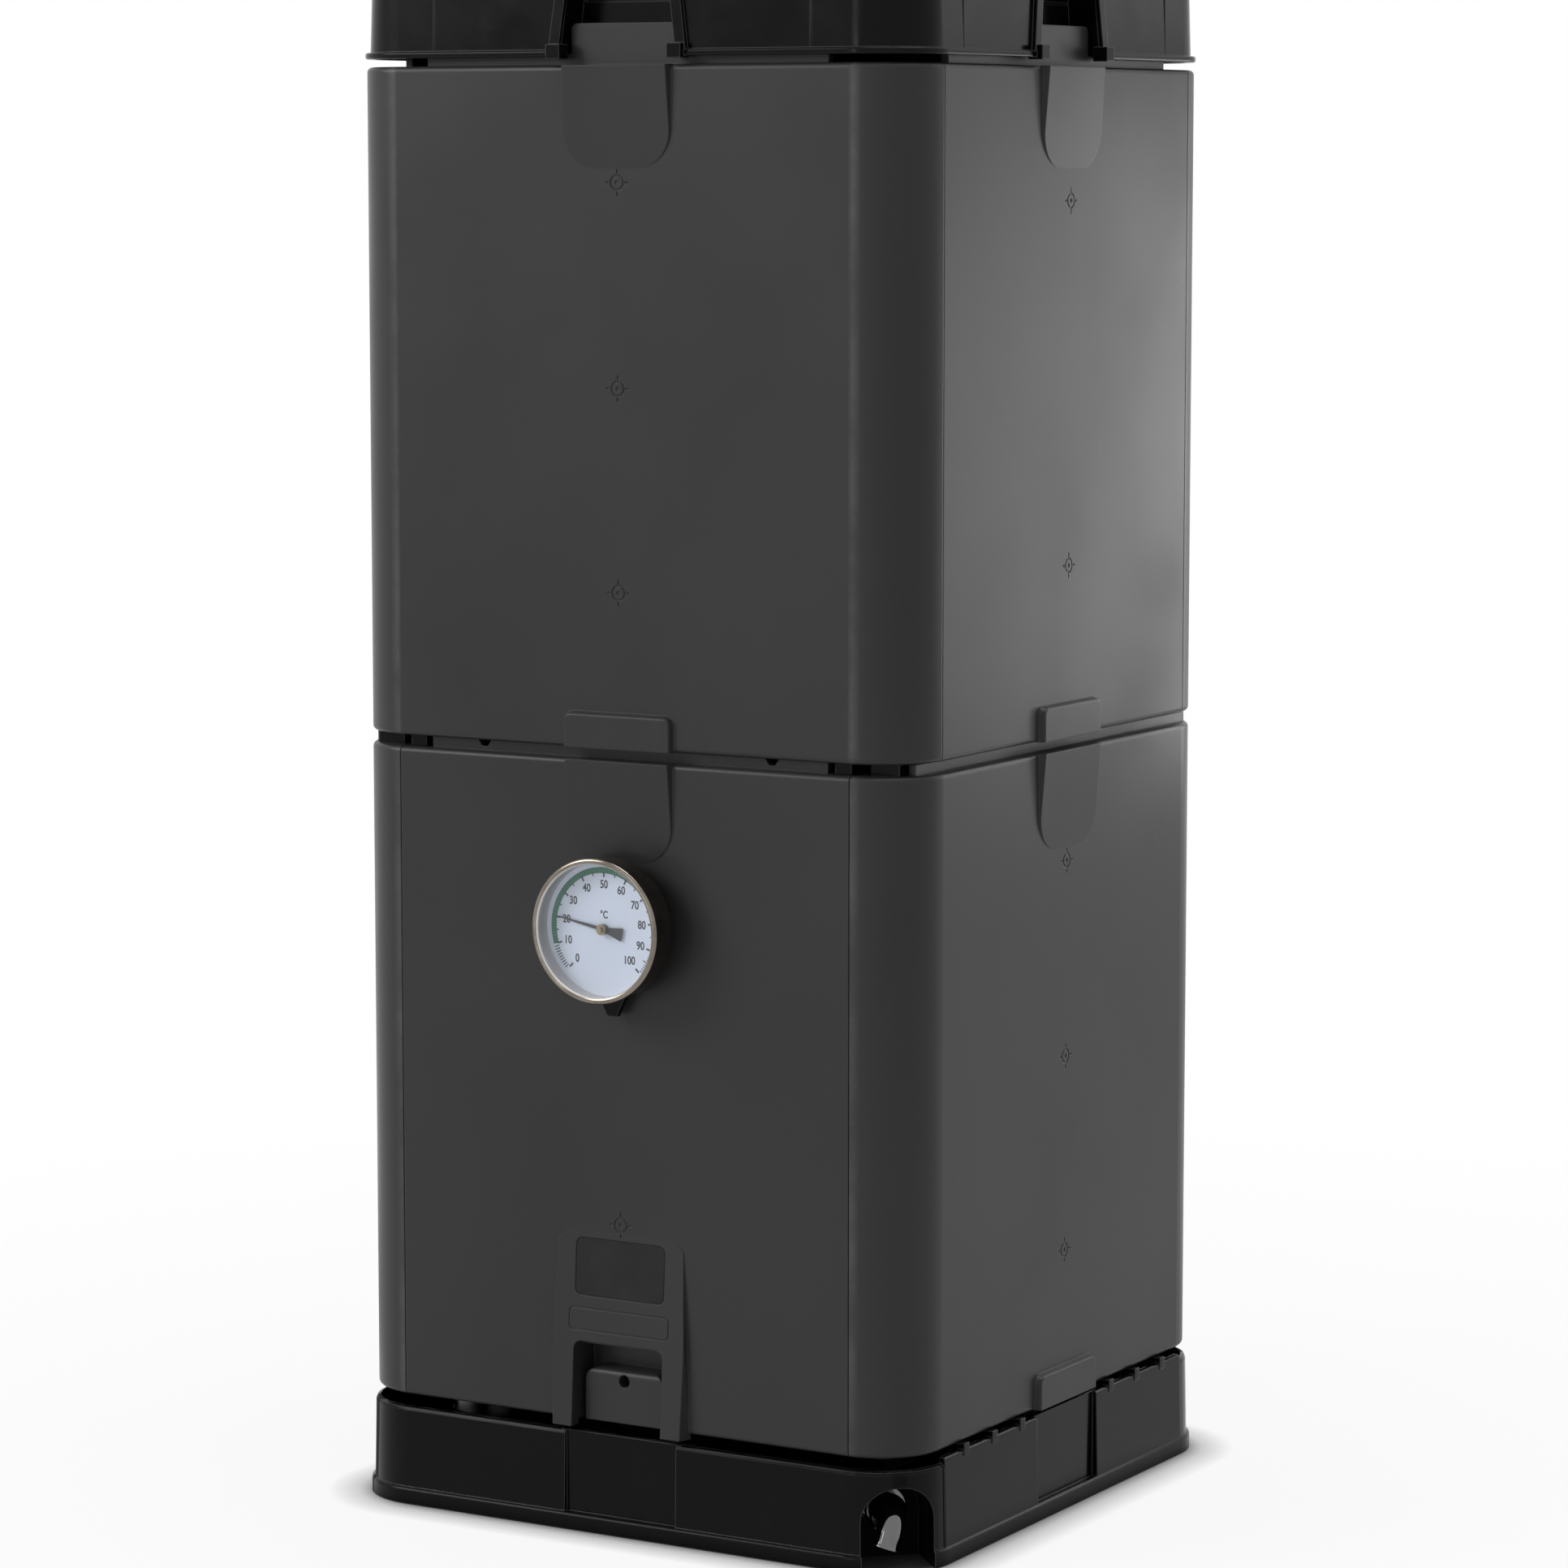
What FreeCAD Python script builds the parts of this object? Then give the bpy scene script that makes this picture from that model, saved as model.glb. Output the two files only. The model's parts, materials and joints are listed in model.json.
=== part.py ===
"""Insulated compost bin: base tray with a corner tap, two tiers of foam-filled panels, hinged lid."""
import FreeCAD, Part
import math
import os
import re
import Sketcher

# Driving sizes in millimetres, angles in degrees. The front faces -Y and the floor is z = 0.
SIZES = {
    # Body and panels
    "body_width": 500.0,
    "corner_radius": 52.0,
    "wall_depth": 50.0,
    "skin": 3.5,
    "edge_round": 4.0,
    "tier_height": 511.0,
    "tier_gap": 9.0,
    "seam_gap": 1.5,
    "running_gap": 0.5,
    # Rim of a panel: a lip set back from the face, with a tongue in its middle
    "lip_setback": 10.0,
    "lip_thickness": 6.0,
    "lip_end_gap": 24.0,
    "wrap_lip_inset": 28.0,
    "tongue_half_width": 46.0,
    "tongue_rise": 31.0,
    "tongue_round": 5.0,
    # Ramp under the tongue and housing over the tongue of the panel below
    "ramp_half_width": 48.0,
    "ramp_height": 77.0,
    "ramp_proud": 5.5,
    "ramp_round": 30.0,
    "ramp_draft_angle": 20.0,
    "housing_half_width": 49.0,
    "housing_height": 28.0,
    "housing_proud": 5.2,
    "housing_round": 8.0,
    "housing_edge_round": 1.8,
    "housing_draft_angle": 20.0,
    "pocket_side_gap": 3.0,
    "pocket_front_gap": 3.0,
    "pocket_back_gap": 15.0,
    "vent_notch_offset": 128.0,
    "vent_notch_half_width": 6.0,
    "vent_notch_foot_half_width": 2.5,
    "vent_notch_depth": 5.0,
    # Gate marks on the panel faces
    "gate_ring_radius": 6.0,
    "gate_ring_width": 1.2,
    "gate_pit_radius": 1.6,
    "gate_tick_gap": 0.8,
    "gate_tick_length": 3.0,
    "gate_depth": 0.5,
    "gate_rise": 118.0,
    "gate_drop": 87.0,
    "gate_flat_inset": 14.0,
    # Grip at the foot of an access door
    "grip_half_width": 61.0,
    "grip_top_half_width": 56.0,
    "grip_height": 148.0,
    "grip_proud": 9.0,
    "grip_leg_drop": 4.0,
    "grip_round": 20.0,
    "grip_draft_angle": 20.0,
    "finger_half_width": 40.0,
    "finger_height": 63.0,
    "finger_round": 7.0,
    "finger_floor_height": 41.0,
    "finger_floor_depth": 4.0,
    "finger_depth": 24.0,
    "finger_roll": 5.0,
    "finger_slot": 5.0,
    "finger_plate_round": 10.0,
    "grip_hole_radius": 4.8,
    "grip_hole_height": 33.0,
    "grip_hole_depth": 12.0,
    "label_half_width": 40.0,
    "label_half_height": 22.5,
    "label_drop": 27.5,
    "label_round": 6.0,
    "label_depth": 0.8,
    "strip_half_width": 45.0,
    "strip_half_height": 9.0,
    "strip_drop": 68.0,
    "strip_round": 4.0,
    "strip_line": 1.0,
    "strip_depth": 0.5,
    # Base tray
    "base_height": 77.0,
    "vent_gap": 9.0,
    "base_overhang": 2.5,
    "base_flare": 1.5,
    "base_rim_round": 3.2,
    "base_wall": 4.0,
    "base_floor_height": 8.0,
    "foot_overhang": 2.5,
    "foot_height": 13.0,
    "foot_round": 3.0,
    "recess_half_width": 50.0,
    "recess_depth": 2.5,
    "facing_rise": 4.5,
    "facing_proud": 1.0,
    "facing_round": 2.5,
    "tab_width": 7.5,
    "tab_depth": 12.0,
    "tab_proud": 0.8,
    "tab_drop": 5.0,
    "tab_first": 75.0,
    "tab_pitch": 45.0,
    "rib_thickness": 4.0,
    "rib_offset": 110.0,
    "pad_half_width": 30.0,
    "post_width": 18.0,
    "post_inset": 50.0,
    "alcove_half_width": 28.5,
    "alcove_height": 64.0,
    "alcove_round": 27.0,
    "alcove_depth": 50.0,
    # Drain grate and aeration core
    "grate_overhang": 5.0,
    "grate_corner": 40.0,
    "grate_thickness": 5.0,
    "grate_height": 60.0,
    "grate_slot_width": 7.0,
    "grate_slot_margin": 20.0,
    "core_width": 110.0,
    "core_corner": 12.0,
    "core_wall": 3.0,
    "core_drop": 172.0,
    "core_slot_half_length": 34.0,
    "core_slot_height": 9.0,
    "core_slot_first": 70.0,
    "core_cap_rise": 26.0,
    "core_cap_overhang": 3.0,
    "core_plug_depth": 12.0,
    # Drain tap in the corner alcove, and its swivelling spout
    "tap_height": 38.0,
    "tap_bore_radius": 7.0,
    "tap_shank_radius": 10.0,
    "tap_flange_radius": 17.0,
    "tap_flange": 4.0,
    "tap_barrel_radius": 11.5,
    "tap_barrel_length": 13.0,
    "tap_seal": 3.0,
    "tap_seal_radius": 15.0,
    "tap_nut": 8.0,
    "tap_nut_radius": 17.0,
    "spout_wall": 3.0,
    "spout_overlap": 9.0,
    "spout_front": 5.0,
    "spout_pipe_radius": 10.5,
    "spout_bore_radius": 8.0,
    "spout_bead_radius": 11.3,
    "spout_bead": 2.5,
    "spout_reach": 22.0,
    "spout_bore_depth": 11.0,
    "spout_lean_angle": 10.0,
    "spout_turn_angle": 160.0,
    "turning_gap": 0.06,
    # Lid
    "lid_gap": 6.0,
    "lid_inset": 2.5,
    "lid_taper": 3.0,
    "lid_skirt": 95.0,
    "lid_wall": 3.5,
    "lid_roof": 38.0,
    "roof_run": 94.5,
    "roof_top_corner": 34.0,
    "lid_bead": 3.8,
    "lid_bead_height": 5.0,
    "notch_low_half_width": 52.0,
    "notch_top_half_width": 44.0,
    "notch_height": 58.0,
    "notch_depth": 25.0,
    "notch_foot_length": 12.0,
    "notch_foot_reach": 5.0,
    "notch_foot_half_depth": 6.0,
    "notch_foot_height": 11.0,
    "notch_rib_width": 9.0,
    "notch_rib_proud": 3.5,
    "notch_rib_height": 46.0,
    "notch_line_height": 42.0,
    "notch_line_width": 1.8,
    "notch_line_depth": 2.0,
    "crease_offset": 165.0,
    "crease_width": 1.6,
    "crease_proud": 1.4,
    "rest_fin_offset": 120.0,
    "rest_fin_width": 4.0,
    "lid_liner_gap": 3.0,
    "lid_foam": 25.0,
    "boss_radius": 6.0,
    "boss_inset": 25.0,
    "screw_radius": 2.0,
    "screw_head_radius": 5.0,
    "screw_head": 3.0,
    "screw_length": 14.0,
    # Hinge on the back tongue
    "hinge_rise": 4.0,
    "hinge_pin_radius": 2.5,
    "hinge_lug_radius": 5.5,
    "hinge_lug_length": 14.0,
    "hinge_plate": 3.0,
    "hinge_plate_height": 24.0,
    "hinge_side_gap": 4.0,
    # Spacer blocks between the tiers
    "spacer_width": 24.0,
    "spacer_inset": 18.0,
    "peg_width": 14.0,
    "peg_inset": 18.0,
    # Dial thermometer in the front door
    "dial_drop": 125.0,
    "case_radius": 53.4,
    "case_wall": 2.5,
    "case_depth": 23.0,
    "bezel_radius": 2.6,
    "dial_setback": 14.0,
    "dial_thickness": 1.0,
    "lens_setback": 3.0,
    "lens_thickness": 2.5,
    "stem_radius": 4.5,
    "stem_core_gap": 35.0,
    "bush_radius": 11.0,
    "bush_length": 6.0,
    "bracket_thickness": 6.0,
    "bracket_radius": 24.0,
    "bracket_drop": 68.0,
    "bracket_tip_half_width": 4.0,
    "pointer_length": 40.0,
    "pointer_tail": 17.0,
    "pointer_half_width": 1.4,
    "pointer_tip_half_width": 0.4,
    "pointer_tail_half_width": 5.0,
    "pointer_thickness": 0.8,
    "pointer_lift": 1.4,
    "hub_radius": 4.0,
    "hub_length": 2.6,
    "pointer_shaft_radius": 1.5,
    "pointer_turn_angle": 79.65,
}

# Lengths worked out from the driving sizes
DERIVED = {
    "outer": "body_width / 2",
    "inner": "outer - wall_depth",
    "flat_half": "inner - seam_gap / 2",
    "tongue_front": "outer - lip_setback",
    "tongue_back": "tongue_front - lip_thickness",
    "lip_rise": "tier_gap - running_gap",
    "lip_half_length": "inner - lip_end_gap",
    "wrap_lip_end": "outer - wrap_lip_inset",
    "lip_top": "tier_height + lip_rise",
    "tongue_entry": "tongue_rise - tier_gap",
    "gate_high": "tier_height - gate_drop",
    "gate_middle": "(gate_rise + gate_high) / 2",
    "dial_height": "tier_height - dial_drop",
    "lower_z": "base_height + vent_gap",
    "lower_top": "lower_z + tier_height",
    "upper_z": "lower_top + tier_gap",
    "upper_top": "upper_z + tier_height",
    "base_floor_top": "base_floor_height + base_wall",
    "base_half": "outer + base_overhang",
    "base_low": "base_half + base_flare",
    "foot_half": "base_low + foot_overhang",
    "base_inner": "base_half - base_wall",
    "post_offset": "inner - post_inset",
    "corner_reach": "(base_half - corner_radius) * sqrt(2) + corner_radius",
    "alcove_back": "corner_reach - alcove_depth",
    "grate_top": "grate_height + grate_thickness",
    "grate_half": "inner + grate_overhang",
    "core_half": "core_width / 2",
    "core_top": "upper_top - core_drop",
    "stem_tip": "core_half + stem_core_gap",
    "peg_offset": "inner - peg_inset",
    "barrel_end": "alcove_back + tap_flange + tap_barrel_length",
    "spout_root": "barrel_end - spout_overlap",
    "spout_hub_radius": "tap_barrel_radius + turning_gap + spout_wall",
    "spout_centre": "barrel_end - spout_overlap / 2 + spout_front",
    "lid_z": "upper_top + lid_gap",
    "lid_low": "outer - lid_inset",
    "lid_top": "lid_low - lid_taper",
    "roof_half": "lid_top - roof_run",
    "boss_offset": "roof_half - boss_inset",
    "eaves_z": "lid_z + lid_skirt",
    "ridge_z": "eaves_z + lid_roof",
    "notch_back": "lid_low - notch_depth",
    "lid_liner_half": "notch_back - lid_wall - lid_liner_gap",
    "lid_liner_z": "lid_z + notch_height + lid_wall + lid_liner_gap",
    "lid_liner_top": "lid_liner_z + skin",
    "hinge_z": "lid_z + hinge_rise",
    "foot_inner": "notch_low_half_width - notch_foot_reach",
    "foot_outer": "foot_inner + notch_foot_length",
    "lug_outer": "foot_inner - hinge_side_gap",
    "lug_inner": "lug_outer - hinge_lug_length",
    "case_back": "outer + bush_length + bracket_thickness",
    "case_front": "case_back + case_depth",
    "dial_out": "case_front - dial_setback",
    "dial_z": "lower_z + dial_height",
}

doc = FreeCAD.newDocument("compost_bin")
sheet = doc.addObject("Spreadsheet::Sheet", "Sizes")
for row, (size_name, size_value) in enumerate(SIZES.items(), start=1):
    sheet.set(f"A{row}", size_name)
    sheet.set(f"B{row}", str(size_value))
    sheet.setAlias(f"B{row}", size_name)
doc.recompute()

X_AXIS = FreeCAD.Vector(1, 0, 0)
Y_AXIS = FreeCAD.Vector(0, 1, 0)
Z_AXIS = FreeCAD.Vector(0, 0, 1)
OUTWARD = FreeCAD.Vector(0, -1, 0)
ORIGIN = FreeCAD.Vector(0, 0, 0)
QUARTERS = (0, 90, 180, 270)
AT_FRONT, AT_RIGHT, AT_BACK, AT_LEFT = QUARTERS
TAP_BEARING = 45
NEAR = 0.01
nodes = []


def formula(text):
    """Spells out sheet names and derived lengths as one expression."""
    def spell(match):
        word = match.group(0)
        if word in SIZES:
            return "Sizes." + word
        if word in DERIVED:
            return "(" + formula(DERIVED[word]) + ")"
        return word
    return re.sub(r"[a-z_]+", spell, text)


def bind(item, path, text):
    item.setExpression(path, formula(text))


def box(x, out, z):
    """A block between two values of x, of distance out to the front, and of height."""
    item = doc.addObject("Part::Box", "Block")
    bind(item, "Length", f"({x[1]}) - ({x[0]})")
    bind(item, "Width", f"({out[1]}) - ({out[0]})")
    bind(item, "Height", f"({z[1]}) - ({z[0]})")
    bind(item, "Placement.Base.x", x[0])
    bind(item, "Placement.Base.y", f"-({out[1]})")
    bind(item, "Placement.Base.z", z[0])
    return item


def centred(half):
    return (f"-({half})", half)


def about(middle, width):
    return (f"{middle} - {width} / 2", f"{middle} + {width} / 2")


def both_sides(span):
    """A span of x and its mirror image."""
    return [span, (f"-({span[1]})", f"-({span[0]})")]


def sorted_span(side, near, far):
    return both_sides((near, far))[1 if side else 0]


def wedge(z, low_x, low_out, high_x, high_out):
    """A block whose x and out spans change evenly from its low end to its high end."""
    item = doc.addObject("Part::Wedge", "Wedge")
    spans = {"X": low_x, "Y": z, "Z": low_out, "X2": high_x, "Z2": high_out}
    for axis, span in spans.items():
        bind(item, axis + "min", span[0])
        bind(item, axis + "max", span[1])
    item.Placement = FreeCAD.Placement(ORIGIN, FreeCAD.Rotation(X_AXIS, 90))
    return item


def rod(radius, along, span, across):
    """A round bar along x, out or z. Across holds its other two coordinates."""
    item = doc.addObject("Part::Cylinder", "Rod")
    bind(item, "Radius", radius)
    bind(item, "Height", f"({span[1]}) - ({span[0]})")
    turns = {"x": (Y_AXIS, 90), "out": (X_AXIS, 90), "z": (Z_AXIS, 0)}
    item.Placement = FreeCAD.Placement(ORIGIN, FreeCAD.Rotation(*turns[along]))
    base = {
        "x": (span[0], f"-({across[0]})", across[1]),
        "out": (across[0], f"-({span[0]})", across[1]),
        "z": (across[0], f"-({across[1]})", span[0]),
    }[along]
    for name, text in zip("xyz", base):
        bind(item, "Placement.Base." + name, text)
    return item


def fuse(*items):
    if len(items) == 1:
        return items[0]
    item = doc.addObject("Part::MultiFuse", "Joined")
    item.Shapes = list(items)
    item.Refine = True
    return item


def cut(base, *tools):
    item = doc.addObject("Part::Cut", "Cut")
    item.Base = base
    item.Tool = fuse(*tools)
    return item


def common(first, second):
    item = doc.addObject("Part::Common", "Overlap")
    item.Base = first
    item.Tool = second
    return item


def copy_of(master, rotation, z="0"):
    """The same moulding again, turned and raised."""
    item = doc.addObject("Part::Compound", "Copy")
    item.Links = [master]
    item.Placement = FreeCAD.Placement(ORIGIN, rotation)
    bind(item, "Placement.Base.z", z)
    return item


def around(item, angles=QUARTERS):
    """Copies of one piece on several sides of the bin."""
    return [copy_of(item, FreeCAD.Rotation(Z_AXIS, angle)) for angle in angles]


def origin_plane(body, role):
    return next(plane for plane in body.Origin.OriginFeatures if plane.Role == role)


def new_sketch(body, role, centre=("0", "0"), start="0"):
    """A sketch on one of the body's planes, moved to a centre and off the plane by start."""
    sketch = body.newObject("Sketcher::SketchObject", "Outline")
    sketch.AttachmentSupport = [(origin_plane(body, role), "")]
    sketch.MapMode = "FlatFace"
    bind(sketch, "AttachmentOffset.Base.x", centre[0])
    bind(sketch, "AttachmentOffset.Base.y", centre[1])
    bind(sketch, "AttachmentOffset.Base.z", start)
    return sketch


def rounded_rectangle(sketch, half, radius):
    """Four sides and four corner arcs about the sketch's origin."""
    reach = 100.0
    bend = 20.0
    side = reach - bend
    for quarter in range(4):
        turn = FreeCAD.Rotation(Z_AXIS, 90 * quarter)
        first = turn.multVec(FreeCAD.Vector(-side, -reach, 0))
        last = turn.multVec(FreeCAD.Vector(side, -reach, 0))
        circle = Part.Circle(turn.multVec(FreeCAD.Vector(side, -side, 0)), Z_AXIS, bend)
        angle = math.radians(90 * quarter - 90)
        sketch.addGeometry(Part.LineSegment(first, last), False)
        sketch.addGeometry(Part.ArcOfCircle(circle, angle, angle + math.pi / 2), False)
    rule = Sketcher.Constraint
    for edge in range(8):
        sketch.addConstraint(rule("Tangent", edge, 2, (edge + 1) % 8, 1))
    for edge, kind in ((0, "Horizontal"), (4, "Horizontal"), (2, "Vertical"), (6, "Vertical")):
        sketch.addConstraint(rule(kind, edge))
    for arc in (3, 5, 7):
        sketch.addConstraint(rule("Equal", 1, arc))
    sketch.addConstraint(rule("Symmetric", 0, 1, 4, 1, -1, 1))
    sizes = (
        (rule("Radius", 1, bend), radius),
        (rule("DistanceX", 6, 1, 2, 1, 2 * reach), f"2 * ({half[0]})"),
        (rule("DistanceY", 0, 1, 4, 1, 2 * reach), f"2 * ({half[1]})"),
    )
    for constraint, text in sizes:
        number = sketch.addConstraint(constraint)
        bind(sketch, f"Constraints[{number}]", text)


def rounded_prism(role, half, radius, centre, start, length, taper="0"):
    """A padded rounded rectangle: on XY_Plane it rises, on XZ_Plane it grows outwards."""
    body = doc.addObject("PartDesign::Body", "Prism")
    sketch = new_sketch(body, role, centre, start)
    rounded_rectangle(sketch, half, radius)
    pad = body.newObject("PartDesign::Pad", "Pad")
    pad.Profile = sketch
    bind(pad, "Length", length)
    bind(pad, "TaperAngle", taper)
    body.Tip = pad
    return body


def square_prism(half, radius, z):
    return rounded_prism("XY_Plane", (half, half), radius, ("0", "0"), z[0], f"({z[1]}) - ({z[0]})")


def square_loft(*levels):
    """A rounded square that changes evenly with height. Each level is half width, radius, height."""
    body = doc.addObject("PartDesign::Body", "Loft")
    sections = []
    for half, radius, z in levels:
        sketch = new_sketch(body, "XY_Plane", start=z)
        rounded_rectangle(sketch, (half, half), radius)
        sections.append(sketch)
    loft = body.newObject("PartDesign::AdditiveLoft", "Blend")
    loft.Profile = sections[0]
    loft.Sections = sections[1:]
    loft.Ruled = True
    body.Tip = loft
    return body


def turned(points):
    """A profile of radius and distance out, revolved about the outward axis."""
    body = doc.addObject("PartDesign::Body", "Turning")
    sketch = new_sketch(body, "XY_Plane")
    count = len(points)
    for index in range(count):
        start_angle = 2 * math.pi * index / count
        end_angle = 2 * math.pi * (index + 1) / count
        first = FreeCAD.Vector(60 + 20 * math.cos(start_angle), -60 - 20 * math.sin(start_angle), 0)
        last = FreeCAD.Vector(60 + 20 * math.cos(end_angle), -60 - 20 * math.sin(end_angle), 0)
        sketch.addGeometry(Part.LineSegment(first, last), False)
    rule = Sketcher.Constraint
    for index in range(count):
        sketch.addConstraint(rule("Coincident", index, 2, (index + 1) % count, 1))
    for index, (radius, out) in enumerate(points):
        for kind, text in (("DistanceX", radius), ("DistanceY", f"-({out})")):
            place = sketch.getPoint(index, 1)
            value = place.x if kind == "DistanceX" else place.y
            number = sketch.addConstraint(rule(kind, -1, 1, index, 1, value))
            bind(sketch, f"Constraints[{number}]", text)
    revolution = body.newObject("PartDesign::Revolution", "Revolve")
    revolution.Profile = sketch
    revolution.ReferenceAxis = (sketch, ["V_Axis"])
    revolution.Angle = 360
    body.Tip = revolution
    return body


def ring(inner_radius, outer_radius, out):
    return turned([
        (inner_radius, out[0]),
        (outer_radius, out[0]),
        (outer_radius, out[1]),
        (inner_radius, out[1]),
    ])


def size(name):
    return float(sheet.get(name))


def round_edges(item, radius, chosen):
    """Fillets the edges whose middle point and end points satisfy the chosen test."""
    doc.recompute()
    picked = []
    for number, edge in enumerate(item.Shape.Edges, start=1):
        middle = edge.valueAt((edge.FirstParameter + edge.LastParameter) / 2)
        points = [middle, *(vertex.Point for vertex in edge.Vertexes)]
        level = all(abs(point.z - middle.z) < NEAR for point in points)
        if all(chosen(point, level) for point in points):
            picked.append((number, radius, radius))
    fillet = doc.addObject("Part::Fillet", "Rounded")
    fillet.Base = item
    fillet.Edges = picked
    return fillet


def node(item, label):
    item.Label = label
    nodes.append(item)
    return item


# Panel mouldings, drawn once as a front panel standing on z = 0
OUTLINE = square_prism("outer", "corner_radius", ("0", "tier_height"))
CAVITY = square_prism("outer - skin", "corner_radius - skin", ("skin", "tier_height - skin"))


def panel_slab(half, is_flat):
    """The outer block of a panel with its outside edges rounded."""
    slab = common(OUTLINE, box(centred(half), ("inner", "outer"), ("0", "tier_height")))
    face = -size("body_width") / 2
    back = face + size("wall_depth")

    def outside(point, level):
        if is_flat:
            return point.y < face + NEAR
        return level and (point.y < back - NEAR or abs(point.x) > -face - NEAR)
    return round_edges(slab, size("edge_round"), outside)


def panel_hollow(half):
    span = centred(f"{half} - skin")
    return common(CAVITY, box(span, ("inner", "outer - skin"), ("skin", "tier_height - skin")))


def panel_tongue():
    """The tongue in the middle of the top rim, with its upper corners rounded."""
    plate = rounded_prism(
        "XZ_Plane", ("tongue_half_width", "tongue_rise"), "tongue_round",
        ("0", "tier_height"), "tongue_back", "lip_thickness")
    room = box(centred("tongue_half_width"), ("tongue_back", "tongue_front"),
               ("tier_height - skin", "tier_height + tongue_rise"))
    return common(plate, room)


def panel_lip():
    return box(centred("lip_half_length"), ("tongue_back", "tongue_front"), ("tier_height - skin", "lip_top"))


def lip_ends():
    """Carries the lip of a lower wrap panel on into its round corners."""
    return [box(x, ("tongue_back", "tongue_front"), ("tier_height - skin", "lip_top"))
            for x in both_sides(("lip_half_length - skin", "wrap_lip_end"))]


def vent_notches():
    """Two tapered notches in the lip of an access door."""
    out = ("tongue_back - skin", "tongue_front + skin")
    return [wedge(("lip_top - vent_notch_depth", "lip_top"),
                  about(side + "vent_notch_offset", "2 * vent_notch_foot_half_width"), out,
                  about(side + "vent_notch_offset", "2 * vent_notch_half_width"), out)
            for side in ("", "-")]


def panel_ramp():
    """A U-shaped ramp that stands proud at the top edge and fades out below."""
    half_height = "(ramp_height / 2 + ramp_round)"
    shield = rounded_prism(
        "XZ_Plane", ("ramp_half_width", half_height), "ramp_round",
        ("0", f"tier_height - ramp_height + {half_height}"), "outer - skin / 2", "ramp_proud + skin",
        "-ramp_draft_angle")
    slope = wedge(
        ("tier_height - ramp_height", "tier_height"),
        centred("ramp_half_width"), ("outer - skin / 2", "outer"),
        centred("ramp_half_width"), ("outer - skin / 2", "outer + ramp_proud"))
    return common(shield, slope)


def panel_housing():
    """A drafted box at the foot that covers the tongue of the piece below."""
    block = rounded_prism(
        "XZ_Plane", ("housing_half_width", "housing_height"), "housing_round",
        ("0", "0"), "outer - skin / 2", "housing_proud + skin / 2", "-housing_draft_angle")
    room = box(centred("housing_half_width"), ("outer - skin", "outer + housing_proud"),
               ("0", "housing_height"))
    face = -size("body_width") / 2 - size("housing_proud") + NEAR
    return round_edges(common(block, room), size("housing_edge_round"),
                       lambda point, level: point.y < face and not (level and point.z < NEAR))


def tongue_pocket():
    return box(
        centred("tongue_half_width + pocket_side_gap"),
        ("tongue_back - pocket_back_gap", "tongue_front + pocket_front_gap"),
        ("-skin", "tongue_entry + pocket_front_gap"))


def gate_marks(heights):
    """Moulding marks on the centre line: a ring with a pit and four short ticks."""
    sunk = ("outer - gate_depth", "outer + gate_depth")
    circle = ring("gate_ring_radius - gate_ring_width", "gate_ring_radius", sunk)
    pit = rod("gate_pit_radius", "out", sunk, ("0", "0"))
    tick = box(about("0", "gate_ring_width"), sunk,
               ("gate_ring_radius + gate_tick_gap", "gate_ring_radius + gate_tick_gap + gate_tick_length"))
    ticks = [copy_of(tick, FreeCAD.Rotation(OUTWARD, angle)) for angle in QUARTERS]
    mark = fuse(circle, pit, *ticks)
    return [copy_of(mark, FreeCAD.Rotation(), height) for height in heights]


def grip_surround():
    """A sloping plate with rounded shoulders, proud at the foot and flush at the top."""
    half_height = "((grip_height + grip_leg_drop + grip_round) / 2)"
    shield = rounded_prism(
        "XZ_Plane", ("grip_half_width", half_height), "grip_round",
        ("0", f"grip_height - {half_height}"), "outer - skin / 2", "grip_proud + skin", "-grip_draft_angle")
    slope = wedge(
        ("-grip_leg_drop", "grip_height"),
        centred("grip_half_width"), ("outer - skin / 2", "outer + grip_proud"),
        centred("grip_top_half_width"), ("outer - skin / 2", "outer"))
    return common(shield, slope)


def grip_block():
    """Solid backing left behind the finger recess."""
    return box(centred("finger_half_width + skin"), ("outer - finger_depth - skin", "outer"),
               ("0", "finger_height + skin"))


def finger_recess():
    mouth = rounded_prism(
        "XZ_Plane", ("finger_half_width", "finger_height"), "finger_round",
        ("0", "0"), "outer - finger_floor_depth", "finger_floor_depth + 2 * grip_proud")
    plate = rounded_prism(
        "XZ_Plane", ("finger_half_width - finger_slot", "finger_floor_height"), "finger_plate_round",
        ("0", "0"), "outer - finger_depth - skin", "finger_depth - finger_floor_depth + skin")
    hook = cut(box(centred("finger_half_width"), ("outer - finger_depth", "outer"),
                   ("-skin", "finger_height - skin")), plate)
    bend = ("outer - finger_floor_depth - finger_roll", "finger_floor_height - finger_roll")
    roll = cut(
        box(centred("finger_half_width"), (bend[0], "outer"), (bend[1], "finger_floor_height + running_gap")),
        rod("finger_roll", "x", ("-finger_half_width - skin", "finger_half_width + skin"), bend))
    hole_span = ("outer - finger_floor_depth - grip_hole_depth", "outer")
    hole = rod("grip_hole_radius", "out", hole_span, ("0", "grip_hole_height"))
    return [mouth, hook, roll, hole]


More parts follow.
